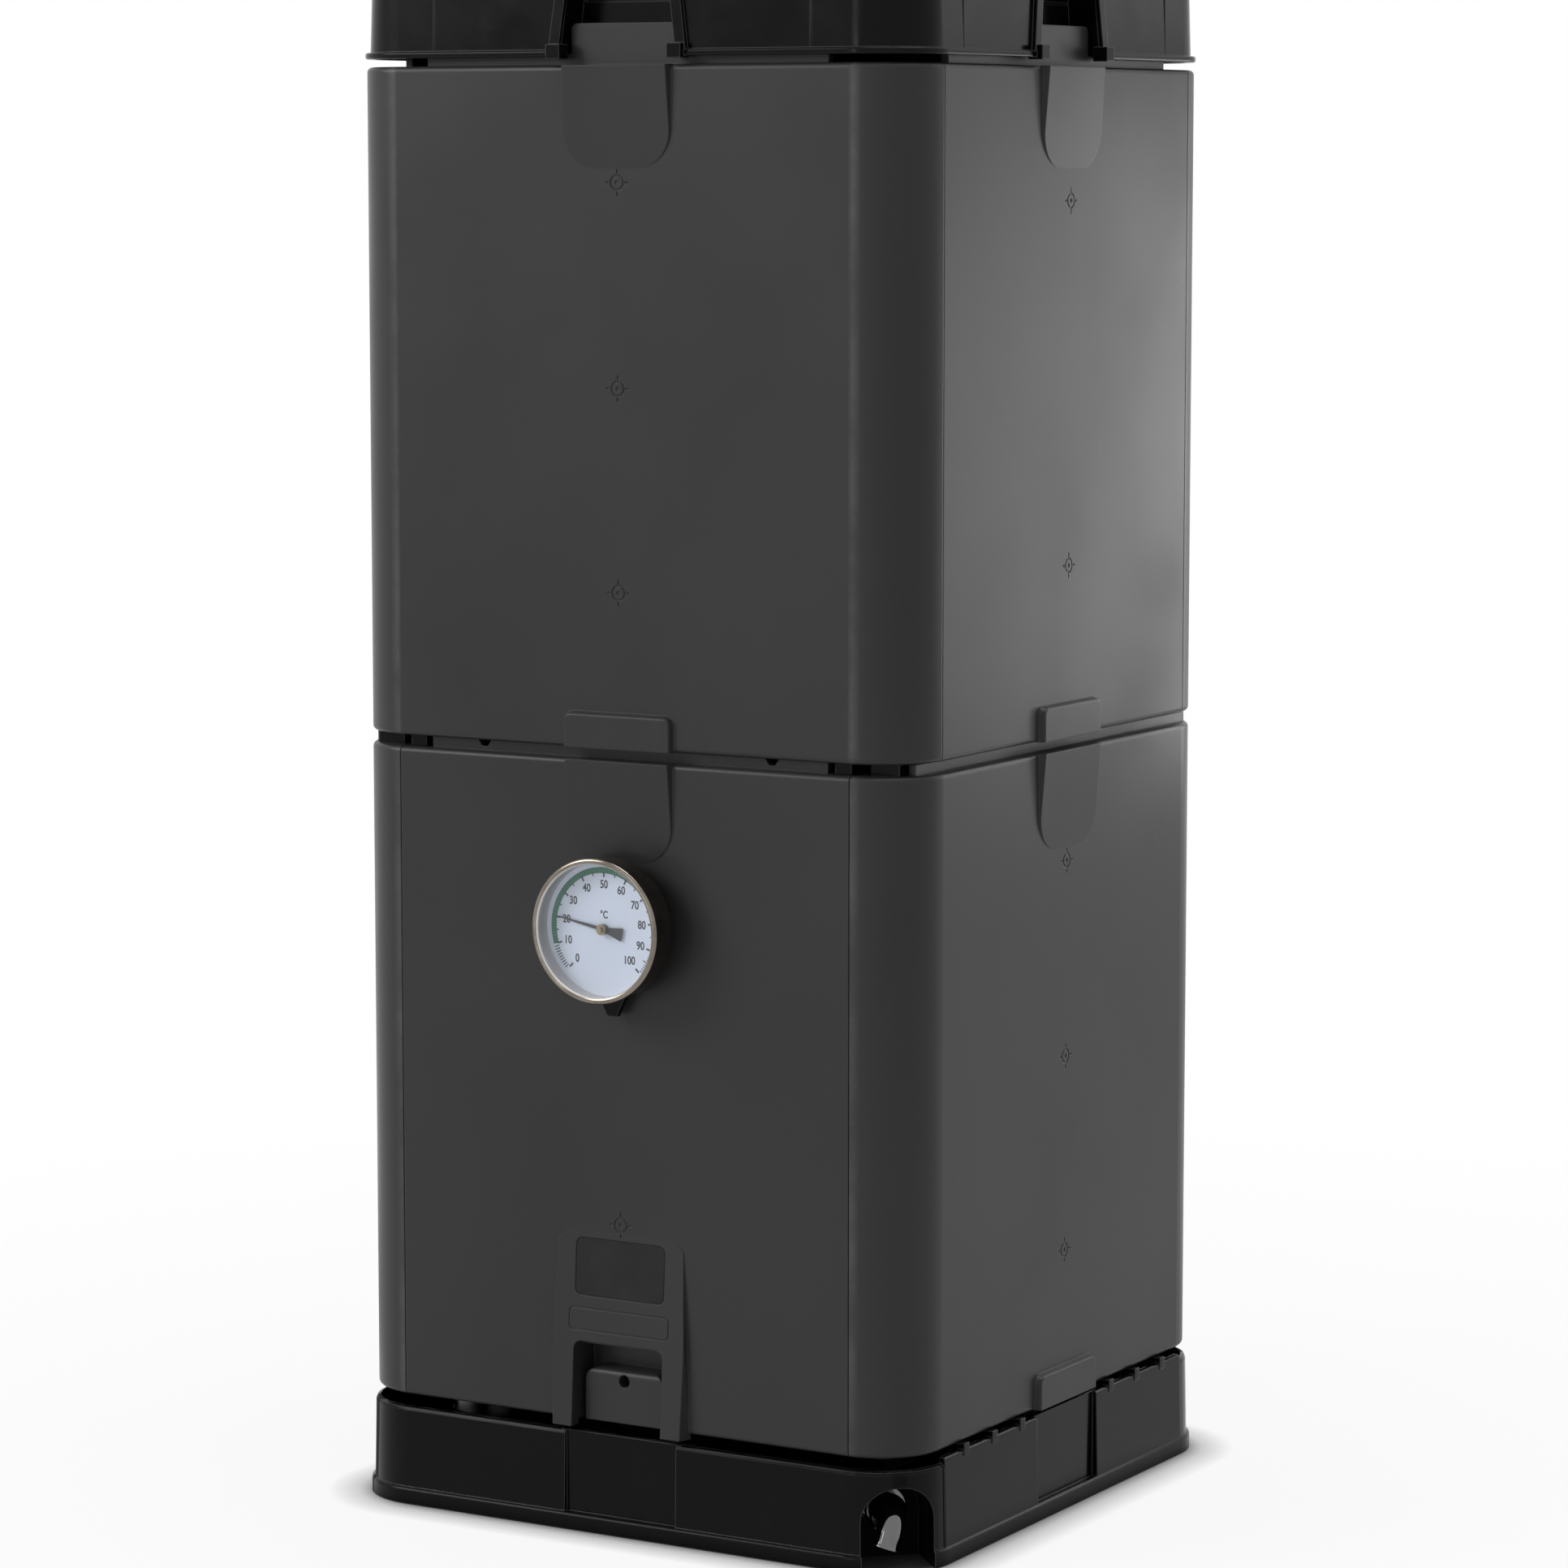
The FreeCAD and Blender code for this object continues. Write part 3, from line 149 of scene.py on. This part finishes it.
def keep(name):
    """Names the piece in hand and puts its place into its mesh."""
    piece = bpy.context.object
    bpy.ops.object.transform_apply(location=True, rotation=True, scale=True)
    piece.name = name
    piece.data.name = name
    return piece


def moved_copy(piece, matrix):
    twin = piece.copy()
    twin.data = piece.data.copy()
    bpy.context.scene.collection.objects.link(twin)
    twin.data.transform(matrix)
    return twin


def joined(pieces, name):
    leave_all()
    for piece in pieces:
        piece.select_set(True)
    bpy.context.view_layer.objects.active = pieces[0]
    bpy.ops.object.join()
    return keep(name)


def flat_plate(width, height):
    """A plane of the given size, left open for editing with all of it selected."""
    leave_all()
    bpy.ops.mesh.primitive_plane_add(size=1.0, location=(0, 0, 0))
    bpy.ops.object.mode_set(mode="EDIT")
    bpy.ops.mesh.select_all(action="SELECT")
    bpy.ops.transform.resize(value=(width, height, 1.0))


def raise_selection(rise):
    bpy.ops.mesh.extrude_region_move(TRANSFORM_OT_translate={"value": (0, 0, rise)})


def close_piece(name):
    """Turns all faces outwards, leaves editing and keeps the piece."""
    bpy.ops.mesh.select_all(action="SELECT")
    bpy.ops.mesh.normals_make_consistent(inside=False)
    bpy.ops.object.mode_set(mode="OBJECT")
    return keep(name)


def finish_piece(piece, body, finish):
    piece.data.materials.clear()
    piece.data.materials.append(finish)
    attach(piece, body)


# Material helpers
def feed(tree, socket, value):
    """Links a value that another node gives, or sets a plain one."""
    if isinstance(value, bpy.types.NodeSocket):
        tree.links.new(value, socket)
    else:
        socket.default_value = value


def combine(tree, operation, first, second):
    node = tree.nodes.new("ShaderNodeMath")
    node.operation = operation
    tree.links.new(first, node.inputs[0])
    tree.links.new(second, node.inputs[1])
    return node.outputs[0]


def background_rays(tree):
    """One for rays that see the background directly, in a gloss or through glass."""
    rays = tree.nodes.new("ShaderNodeLightPath").outputs
    direct = combine(tree, "MAXIMUM", rays["Is Camera Ray"], rays["Is Glossy Ray"])
    return combine(tree, "MAXIMUM", direct, rays["Is Transmission Ray"])


class Finish:
    """A node material with a Principled shader and Object coordinates."""

    def __init__(self, name):
        self.material = bpy.data.materials.new(name)
        self.material.use_nodes = True
        self.tree = self.material.node_tree
        self.shader = self.tree.nodes["Principled BSDF"]
        self.coords = self.tree.nodes.new("ShaderNodeTexCoord").outputs["Object"]

    def add(self, kind, **inputs):
        node = self.tree.nodes.new(kind)
        for name, value in inputs.items():
            feed(self.tree, node.inputs[name.replace("_", " ")], value)
        return node

    def set(self, **inputs):
        for name, value in inputs.items():
            feed(self.tree, self.shader.inputs[name.replace("_", " ")], value)

    def noise(self, scale, detail=3.0, roughness=0.5, stretch=(1, 1, 1)):
        place = self.add("ShaderNodeMapping", Vector=self.coords, Scale=stretch)
        return self.add("ShaderNodeTexNoise", Vector=place.outputs[0], Scale=scale, Detail=detail,
                        Roughness=roughness).outputs["Fac"]

    def spread(self, value, low, high, start=0.0, end=1.0):
        """Low where the value is at its start, high at its end, and no further beyond them."""
        return self.add("ShaderNodeMapRange", Value=value, From_Min=start, From_Max=end, To_Min=low,
                        To_Max=high).outputs["Result"]

    def blend(self, factor, first, second):
        mix = self.tree.nodes.new("ShaderNodeMix")
        mix.data_type = "RGBA"
        feed(self.tree, mix.inputs[0], factor)
        feed(self.tree, mix.inputs[6], first)
        feed(self.tree, mix.inputs[7], second)
        return mix.outputs[2]

    def larger(self, first, second):
        return combine(self.tree, "MAXIMUM", first, second)

    def product(self, first, second):
        return combine(self.tree, "MULTIPLY", first, second)

    def vector(self, operation, first, second=(0, 0, 0)):
        node = self.tree.nodes.new("ShaderNodeVectorMath")
        node.operation = operation
        feed(self.tree, node.inputs[0], first)
        feed(self.tree, node.inputs[1], second)
        return node.outputs

    def folded(self):
        """The distances from the planes through the bin's middle."""
        return self.vector("ABSOLUTE", self.coords)["Vector"]

    def relief(self, height, strength, depth, under=None):
        bump = self.add("ShaderNodeBump", Height=height, Strength=strength, Distance=depth)
        if under is not None:
            self.tree.links.new(under, bump.inputs["Normal"])
        return bump.outputs["Normal"]

    def soft_edges(self, radius):
        edges = self.add("ShaderNodeBevel", Radius=radius)
        edges.samples = 4
        return edges.outputs["Normal"]

    def rubbed_edges(self, rounded, start, end):
        """One along the sharp edges, where the rounded normal leaves the flat one: the mask of a painted
        highlight that is partly rubbing.
        """
        flat = self.tree.nodes.new("ShaderNodeNewGeometry").outputs["Normal"]
        likeness = self.vector("DOT_PRODUCT", rounded, flat)["Value"]
        return self.spread(likeness, 1.0, 0.0, end, start)

    def rubbed_bends(self):
        """Large along the start of each round corner of the panels: a pale line that is partly rubbed by
        handling and partly a painted highlight.
        """
        sides = self.add("ShaderNodeSeparateXYZ", Vector=self.folded()).outputs
        rise = self.spread(sides["X"], 0.0, 1.0, BEND_START, BEND_START + 0.003)
        fall = self.spread(sides["X"], 1.0, 0.0, BEND_START + 0.004, BEND_START + 0.010)
        near_face = self.spread(sides["Y"], 0.0, 1.0, FACE - 0.005, FACE - 0.003)
        line = self.product(self.product(rise, fall), near_face)
        patchy_wear_and_highlight = self.spread(self.noise(16.0, 5.0, 0.65), 0.25, 1.0, 0.38, 0.66)
        return self.product(line, patchy_wear_and_highlight)


def grey(value):
    return (value, value, value * 1.01, 1.0)


def shaded(colour, share):
    return tuple(channel * share for channel in colour[:3]) + (1.0,)


def panel_finish(name, tone):
    """Satin dark moulding with a fine spark grain, faint flow clouds and a pale line on each corner bend that
    is partly handling scuffs and partly a painted highlight.
    """
    finish = Finish(name)
    clouds = finish.noise(3.2, 4.0, 0.55, stretch=(1, 1, 0.6))
    colour = finish.blend(finish.spread(clouds, 0.0, 1.0, 0.35, 0.7), grey(tone * 0.9), grey(tone * 1.12))
    streaks = finish.noise(14.0, 6.0, 0.7, stretch=(1, 1, 0.12))
    colour = finish.blend(finish.spread(streaks, 0.0, 0.35, 0.66, 0.78), colour, grey(tone * 1.9))
    # Painted highlight with handling scuffs: the corner bends are coloured paler
    finish.set(Base_Color=finish.blend(finish.rubbed_bends(), colour, grey(tone * 2.6)))
    finish.set(Roughness=finish.spread(finish.noise(4.5, 5.0), 0.25, 0.43, 0.3, 0.7))
    wave = finish.relief(finish.noise(4.0, 1.0), 0.09, 0.004, finish.soft_edges(PANEL_EDGE))
    finish.set(Normal=finish.relief(finish.noise(1400.0, 2.0), 0.10, 0.0002, wave))
    finish.set(Specular_IOR_Level=0.22)
    return finish.material


def gloss_finish(name, tone, roughness, shine, dull_within=0.0):
    """Glossy black moulding with soft waves, dust in patches and paler edges that are partly rubbed and
    partly a painted highlight, dull near the bin's middle.
    """
    finish = Finish(name)
    dust = finish.spread(finish.noise(9.0, 6.0, 0.65), 0.0, 0.5, 0.55, 0.8)
    colour = finish.blend(dust, grey(tone), grey(tone * 2.6 + 0.004))
    rounded = finish.soft_edges(GLOSS_EDGE)
    # Painted highlight with rubbing: the sharp edges are coloured paler grey
    finish.set(Base_Color=finish.blend(finish.rubbed_edges(rounded, 0.99, 0.86), colour, grey(0.09)))
    polish = finish.spread(finish.noise(22.0, 5.0, 0.6), roughness * 0.8, roughness * 1.5, 0.35, 0.7)
    sides = finish.add("ShaderNodeSeparateXYZ", Vector=finish.folded()).outputs
    reach = finish.larger(sides["X"], sides["Y"])
    dull = finish.spread(reach, 0.75, 0.0, dull_within - 0.003, dull_within)
    finish.set(Roughness=finish.larger(polish, dull))
    wave = finish.relief(finish.noise(6.0, 2.0), 0.12, 0.003, rounded)
    finish.set(Normal=finish.relief(finish.noise(900.0, 2.0), 0.04, 0.0002, wave))
    finish.set(Specular_IOR_Level=shine)
    return finish.material


def add_coat(material, roughness, refraction):
    shader = material.node_tree.nodes["Principled BSDF"]
    shader.inputs["Coat Weight"].default_value = 1.0
    shader.inputs["Coat Roughness"].default_value = roughness
    shader.inputs["Coat IOR"].default_value = refraction


def metal_finish(name, colour, roughness, grain):
    """Turned or drawn metal with faint lines and tarnish."""
    finish = Finish(name)
    stain = finish.spread(finish.noise(60.0, 4.0), 0.0, 1.0, 0.4, 0.75)
    finish.set(Base_Color=finish.blend(stain, colour, shaded(colour, 0.72)), Metallic=1.0)
    finish.set(Roughness=finish.spread(finish.noise(180.0, 4.0), roughness, roughness * 1.8, 0.3, 0.7))
    finish.set(Normal=finish.relief(finish.noise(grain, 2.0, stretch=(1, 12, 1)), 0.05, 0.0002))
    return finish.material


def case_finish(name, dark_reflection_rim_colour, stain_colour, pale_reflection_wall_colour):
    """Spun steel: a polished rim and outside in a darker colour that is a painted dark reflection, and a
    brushed wall inside in a paler colour that is a painted bright reflection.
    """
    finish = Finish(name)
    centred = finish.add("ShaderNodeMapping", Vector=finish.coords, Location=(0, 0, -DIAL_HEIGHT),
                         Scale=(1, 0, 1))
    from_axis = finish.vector("LENGTH", centred.outputs[0])["Value"]
    inside = finish.spread(from_axis, 1.0, 0.0, DIAL_RADIUS * 1.004, DIAL_RADIUS * 1.012)
    stain = finish.spread(finish.noise(60.0, 4.0), 0.0, 1.0, 0.4, 0.75)
    rim = finish.blend(stain, dark_reflection_rim_colour, stain_colour)
    # Painted reflections: darker colour on the rim and outside, paler colour on the inner wall
    finish.set(Base_Color=finish.blend(inside, rim, pale_reflection_wall_colour), Metallic=1.0)
    polished = finish.spread(finish.noise(180.0, 4.0), 0.10, 0.18, 0.3, 0.7)
    brushed = finish.spread(inside, 0.0, 0.35)
    finish.set(Roughness=combine(finish.tree, "ADD", polished, brushed))
    finish.set(Normal=finish.relief(finish.noise(220.0, 2.0, stretch=(1, 12, 1)), 0.05, 0.0002))
    return finish.material


def plain_finish(name, colour, roughness, mottle, shine=0.5):
    """Printed, painted or cast surface with a little mottling and a fine tooth."""
    finish = Finish(name)
    finish.set(Specular_IOR_Level=shine)
    patches = finish.spread(finish.noise(45.0, 4.0), 0.0, 1.0, 0.35, 0.75)
    finish.set(Base_Color=finish.blend(patches, colour, shaded(colour, mottle)))
    tooth = finish.noise(120.0, 3.0)
    finish.set(Roughness=finish.spread(tooth, roughness * 0.85, roughness * 1.15, 0.3, 0.7))
    finish.set(Normal=finish.relief(finish.noise(2500.0, 2.0), 0.05, 0.0001))
    return finish.material


def lens_finish(name):
    """Thin clear dial glass."""
    finish = Finish(name)
    finish.set(Base_Color=(0.95, 0.98, 1.0, 1.0), Alpha=0.04)
    finish.set(Roughness=finish.spread(finish.noise(40.0, 3.0), 0.02, 0.06, 0.3, 0.7))
    return finish.material


GREY = panel_finish("grey_moulding", tone=0.031)
BLACK = gloss_finish("black_gloss_moulding", tone=0.0025, roughness=0.16, shine=0.10)
BASE_BLACK = gloss_finish("base_gloss_moulding", tone=0.0025, roughness=0.16, shine=0.10,
                          dull_within=BASE_FLAT)
TAP_BLACK = gloss_finish("tap_gloss_moulding", tone=0.003, roughness=0.06, shine=0.6)
add_coat(TAP_BLACK, roughness=0.03, refraction=1.9)
LINER = panel_finish("liner_sheet", tone=0.025)
FOAM = plain_finish("pale_foam", (0.80, 0.77, 0.66, 1.0), roughness=0.85, mottle=0.85)
STEEL = metal_finish("polished_steel", (0.36, 0.33, 0.29, 1.0), roughness=0.12, grain=220.0)
# The case's darker rim and paler inner wall are painted reflections on one steel
CASE_STEEL = case_finish("spun_case_steel", dark_reflection_rim_colour=(0.22, 0.195, 0.165, 1.0),
                         stain_colour=(0.14, 0.12, 0.10, 1.0), pale_reflection_wall_colour=(0.62, 0.60, 0.58, 1.0))
PLAIN_STEEL = metal_finish("plain_steel", (0.55, 0.55, 0.55, 1.0), roughness=0.25, grain=400.0)
BRASS = metal_finish("aged_brass", (0.27, 0.23, 0.15, 1.0), roughness=0.25, grain=600.0)
DIAL = plain_finish("dial_card", (0.665, 0.74, 0.885, 1.0), roughness=0.45, mottle=0.97)
INK = plain_finish("black_print", (0.012, 0.014, 0.022, 1.0), roughness=0.5, mottle=0.8)
GREEN = plain_finish("green_print", (0.006, 0.11, 0.058, 1.0), roughness=0.5, mottle=0.85)
PALE_GREEN = plain_finish("pale_green_print", (0.045, 0.26, 0.18, 1.0), roughness=0.5, mottle=0.9)
NEEDLE = plain_finish("needle_paint", (0.008, 0.009, 0.012, 1.0), roughness=0.45, mottle=0.8)
LABEL = plain_finish("bare_label_plate", (0.021, 0.021, 0.0215, 1.0), roughness=0.6, mottle=0.8, shine=0.15)
RUBBER = plain_finish("seal_rubber", (0.012, 0.012, 0.012, 1.0), roughness=0.7, mottle=0.8)
LENS = lens_finish("dial_glass")

SLOT_FINISH = {
    "panel_plastic": GREY,
    "black_plastic": BLACK,
    "liner_plastic": LINER,
    "foam": FOAM,
    "steel": PLAIN_STEEL,
    "polished_steel": STEEL,
    "dial_face": DIAL,
    "lens": LENS,
    "brass": BRASS,
    "pointer_black": NEEDLE,
    "seal_rubber": RUBBER,
}
NODE_FINISH = {
    "base_shell": BASE_BLACK,
    "tap_body": TAP_BLACK,
    "tap_spout": TAP_BLACK,
    "tap_nut": TAP_BLACK,
    "thermometer_case": CASE_STEEL,
}
for entry in frame["record"]["subparts"]:
    node_mesh = frame["nodes"][entry["node"]].data
    node_mesh.materials.clear()
    slot_finish = SLOT_FINISH[entry["material_slot"]]
    node_mesh.materials.append(NODE_FINISH.get(entry["node"], slot_finish))


# Printed dial: its bars are drawn upright at twelve o'clock and turned about the spindle
def reading_angle(celsius):
    """The turn from twelve o'clock to a reading, clockwise seen from the front."""
    return (celsius - MIDDLE_READING) * TURN_PER_READING


def dial_turn(celsius):
    centre = Vector((0.0, DIAL_FACE, DIAL_HEIGHT))
    turn = Matrix.Rotation(reading_angle(celsius), 4, "Y")
    return Matrix.Translation(centre) @ turn @ Matrix.Translation(-centre)


def printed_bar(width, inner, outer, lift):
    """A thin bar of print at twelve o'clock, from one radius to another."""
    flat_plate(width, outer - inner)
    raise_selection(PRINT)
    bar = close_piece("bar")
    stand = Matrix.Translation((0, DIAL_FACE - lift, DIAL_HEIGHT + (inner + outer) / 2))
    bar.data.transform(stand @ Matrix.Rotation(math.radians(90), 4, "X"))
    return bar


def ring_of_bars(name, width, reach, readings, finish, lift=0.0):
    first = printed_bar(width, reach[0] * DIAL_RADIUS, reach[1] * DIAL_RADIUS, lift)
    bars = [moved_copy(first, dial_turn(reading)) for reading in readings]
    bpy.data.objects.remove(first)
    finish_piece(joined(bars, name), "front_door", finish)


step_width = TURN_PER_READING * GREEN_STEP_REACH * DIAL_RADIUS
green_steps = [reading + 0.5 for reading in GREEN_READINGS]
fine_readings = [*range(1, 10), *range(91, 100), *range(66, 70)]
ring_of_bars("dial_green_band", step_width * 1.04, GREEN_BAND, green_steps, PALE_GREEN)
ring_of_bars("dial_green_steps", step_width * 0.62, GREEN_BAND, green_steps, GREEN, PRINT * 0.5)
ring_of_bars("dial_main_ticks", MAIN_TICK_WIDTH, MAIN_TICK, range(0, 101, 10), INK, PRINT)
ring_of_bars("dial_half_ticks", THIN_TICK_WIDTH, HALF_TICK, range(15, 100, 10), INK, PRINT)
ring_of_bars("dial_fine_ticks", THIN_TICK_WIDTH, FINE_TICK, fine_readings, INK)


def printed_word(text, height, x, z):
    """A flat figure on the dial card, centred on x and z."""
    leave_all()
    bpy.ops.object.text_add(location=(0, 0, 0))
    word = bpy.context.object
    word.data.body = text
    word.data.size = height * FONT_SIZE_PER_HEIGHT
    word.data.align_x = "CENTER"
    word.data.align_y = "CENTER"
    word.data.extrude = PRINT / 2
    word.data.offset = FIGURE_WEIGHT
    bpy.ops.object.convert(target="MESH")
    word = keep("figure")
    narrow = Matrix.Diagonal((FIGURE_NARROWING, 1.0, 1.0, 1.0))
    stand = Matrix.Translation((x, DIAL_FACE - PRINT / 2, DIAL_HEIGHT + z))
    word.data.transform(stand @ Matrix.Rotation(math.radians(90), 4, "X") @ narrow)
    return word


figures = []
for reading in range(0, 101, 10):
    angle = reading_angle(reading)
    reach = DIAL_RADIUS * (FIGURE_REACH if reading < 100 else LAST_FIGURE_REACH)
    across = reach * math.sin(angle)
    rise = reach * math.cos(angle)
    figures.append(printed_word(str(reading), FIGURE_HEIGHT, across, rise))
figures.append(printed_word("°C", SIGN_HEIGHT, 0.0, SIGN_RISE))
finish_piece(joined(figures, "dial_figures"), "front_door", INK)


def hub_cap():
    """The turned cap on the pointer's hub, stepped up from one round blank."""
    leave_all()
    bpy.ops.mesh.primitive_cylinder_add(vertices=48, radius=HUB_RADIUS, depth=HUB_DEPTH)
    bpy.ops.object.mode_set(mode="EDIT")
    mesh = bmesh.from_edit_mesh(bpy.context.object.data)
    for face in mesh.faces:
        face.select = face.normal.z > 0.9
    bmesh.update_edit_mesh(bpy.context.object.data)
    for inset, rise in HUB_STEPS:
        bpy.ops.mesh.inset(thickness=inset)
        raise_selection(rise)
    bpy.ops.object.mode_set(mode="OBJECT")
    cap = keep("pointer_hub_cap")
    stand = Matrix.Translation((0, HUB_FACE, DIAL_HEIGHT))
    cap.data.transform(stand @ Matrix.Rotation(math.radians(90), 4, "X"))
    finish_piece(cap, "thermometer_pointer", BRASS)


hub_cap()


def label_plate(name, body, turn):
    """A bare plate with round corners and a low crown, in the label recess of an access door."""
    flat_plate(LABEL_WIDTH, LABEL_HEIGHT)
    bpy.ops.mesh.bevel(affect="VERTICES", offset=LABEL_CORNER, segments=6)
    bpy.ops.mesh.select_all(action="SELECT")
    raise_selection(LABEL_THICKNESS)
    bpy.ops.mesh.inset(thickness=LABEL_RIM)
    bpy.ops.transform.translate(value=(0, 0, LABEL_CROWN))
    plate = close_piece(name)
    lean = Matrix.Rotation(math.radians(90) - GRIP_SLOPE, 4, "X")
    shoulder = Matrix.Translation((0, -FACE, GRIP_TOP)) @ lean
    sunk = Matrix.Translation((0, -LABEL_DROP, -LABEL_DEPTH))
    plate.data.transform(Matrix.Rotation(turn, 4, "Z") @ shoulder @ sunk)
    finish_piece(plate, body, LABEL)


label_plate("front_label_plate", "front_door", 0.0)
label_plate("back_label_plate", "back_door", math.pi)


def swan_neck():
    """The bent spout of the tap: a tube of changing radius along a smooth path, with a wall inwards."""
    leave_all()
    bpy.ops.curve.primitive_nurbs_path_add()
    bend = bpy.context.object.data
    bend.splines.clear()
    line = bend.splines.new("NURBS")
    line.points.add(len(NECK) - 1)
    for point, (out, up, radius) in zip(line.points, NECK):
        point.co = (out, 0.0, up, 1.0)
        point.radius = radius
    line.order_u = 3
    line.use_endpoint_u = True
    line.resolution_u = 10
    bend.dimensions = "3D"
    bend.bevel_depth = 1.0
    bend.bevel_resolution = 10
    bend.use_fill_caps = False
    bpy.ops.object.convert(target="MESH")
    neck = keep("tap_swan_neck")
    bpy.ops.object.mode_set(mode="EDIT")
    bpy.ops.mesh.select_all(action="SELECT")
    bpy.ops.mesh.remove_doubles(threshold=0.00001)
    bpy.ops.mesh.normals_make_consistent(inside=False)
    bpy.ops.object.mode_set(mode="OBJECT")
    wall = neck.modifiers.new("wall", "SOLIDIFY")
    wall.thickness = NECK_WALL
    wall.offset = -1.0
    bpy.ops.object.modifier_apply(modifier="wall")
    bpy.ops.object.shade_smooth_by_angle(angle=math.radians(40))
    corner = Matrix.Translation((0, 0, TAP_HEIGHT)) @ Matrix.Rotation(TAP_CORNER, 4, "Z")
    neck.data.transform(corner @ Matrix.Rotation(SPOUT_TURN, 4, "X"))
    finish_piece(neck, "tap_spout", TAP_BLACK)
    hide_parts("tap_spout")


swan_neck()


def paper_finish(name):
    """Floor that is white to background rays around the bin, keeps the bin's shadow close to its foot and has
    painted shade, a dark colour, under the bin.
    """
    paper = Finish(name)
    paper.set(Roughness=0.9)
    beyond = paper.vector("SUBTRACT", paper.folded(), FOOT_SQUARE)["Vector"]
    outside = paper.vector("MAXIMUM", beyond)["Vector"]
    from_foot = paper.vector("LENGTH", outside)["Value"]
    # Painted shade: dark floor colour under the bin's foot and in the tap's alcove
    outside_painted_shade = paper.spread(from_foot, 0.0, 1.0, *PAINTED_SHADE_EDGE)
    paper.set(Base_Color=paper.blend(outside_painted_shade, grey(0.05), grey(0.6)))
    from_middle = paper.vector("LENGTH", paper.coords)["Value"]
    whiteness = paper.product(paper.spread(from_foot, 0.0, 1.0, *SHADOW_EDGE),
                              paper.spread(from_middle, NEAR_WHITE, 1.0, *WHITE_REACH))
    white = paper.add("ShaderNodeEmission", Color=(1, 1, 1, 1), Strength=1.0)
    layers = paper.add("ShaderNodeMixShader", Fac=paper.product(whiteness, background_rays(paper.tree)))
    paper.tree.links.new(paper.shader.outputs[0], layers.inputs[1])
    paper.tree.links.new(white.outputs[0], layers.inputs[2])
    paper.tree.links.new(layers.outputs[0], paper.tree.nodes["Material Output"].inputs["Surface"])
    return paper.material


# Floor, lights and sky
leave_all()
bpy.ops.mesh.primitive_plane_add(size=FLOOR_SIZE, location=(0, 0, -FLOOR_DROP))
floor = keep("studio_floor")
floor.data.materials.append(paper_finish("studio_paper"))


def softbox(name, place, aim, width, height, power):
    leave_all()
    bpy.ops.object.light_add(type="AREA", location=place)
    lamp = bpy.context.object
    lamp.name = name
    lamp.data.shape = "RECTANGLE"
    lamp.data.size = width
    lamp.data.size_y = height
    lamp.data.energy = power
    lamp.visible_camera = False
    lamp.rotation_euler = (Vector(aim) - Vector(place)).to_track_quat("-Z", "Y").to_euler()


softbox("right_edge_softbox", place=(0.56, 1.00, 0.785), aim=(0.25, 0.20, 0.785),
        width=0.12, height=0.62, power=1.7)
softbox("right_rear_softbox", place=(1.25, 1.74, 0.68), aim=(0.25, 0.0, 0.80),
        width=0.70, height=0.55, power=0.92)
softbox("right_high_softbox", place=(1.25, 1.76, 1.38), aim=(0.25, 0.0, 1.20),
        width=0.80, height=0.30, power=0.6)
softbox("front_left_softbox", place=(-2.8, -2.8, 2.6), aim=(0, -0.25, 0.6),
        width=2.0, height=2.0, power=95)
softbox("front_strip_light", place=(-0.70, -3.05, 0.75), aim=(0.20, -0.20, 0.65),
        width=0.10, height=1.6, power=5)
softbox("top_softbox", place=(0.3, 0.2, 3.4), aim=(0, 0, 0.8),
        width=2.0, height=2.0, power=55)

world = bpy.data.worlds.new("studio")
world.use_nodes = True
bpy.context.scene.world = world
tree = world.node_tree
sky = tree.nodes["Background"]
sky.inputs["Color"].default_value = (1, 1, 1, 1)
strength = tree.nodes.new("ShaderNodeMapRange")
strength.inputs["To Min"].default_value = SKY_LIGHT
strength.inputs["To Max"].default_value = SKY_SEEN
tree.links.new(background_rays(tree), strength.inputs["Value"])
tree.links.new(strength.outputs["Result"], sky.inputs["Strength"])
bpy.context.scene.view_settings.view_transform = "Standard"

# Camera at the photograph's place
right = Vector((math.cos(CAMERA_YAW), math.sin(CAMERA_YAW), 0))
level = Vector((math.sin(CAMERA_YAW), -math.cos(CAMERA_YAW), 0))
back = level * math.cos(CAMERA_PITCH) + Vector((0, 0, math.sin(CAMERA_PITCH)))
up = back.cross(right)
place = back * CAMERA_DISTANCE + right * CAMERA_SIDE + Vector((0, 0, CAMERA_HEIGHT))
leave_all()
bpy.ops.object.camera_add()
camera = bpy.context.object
camera.name = "photo_camera"
camera.data.sensor_width = SENSOR_WIDTH
camera.data.lens = FOCAL_PIXELS / PHOTO_PIXELS * SENSOR_WIDTH
camera.data.clip_end = 100.0
turn = Matrix((right, up, back)).transposed().to_4x4()
camera.matrix_world = Matrix.Translation(place) @ turn
bpy.context.scene.camera = camera
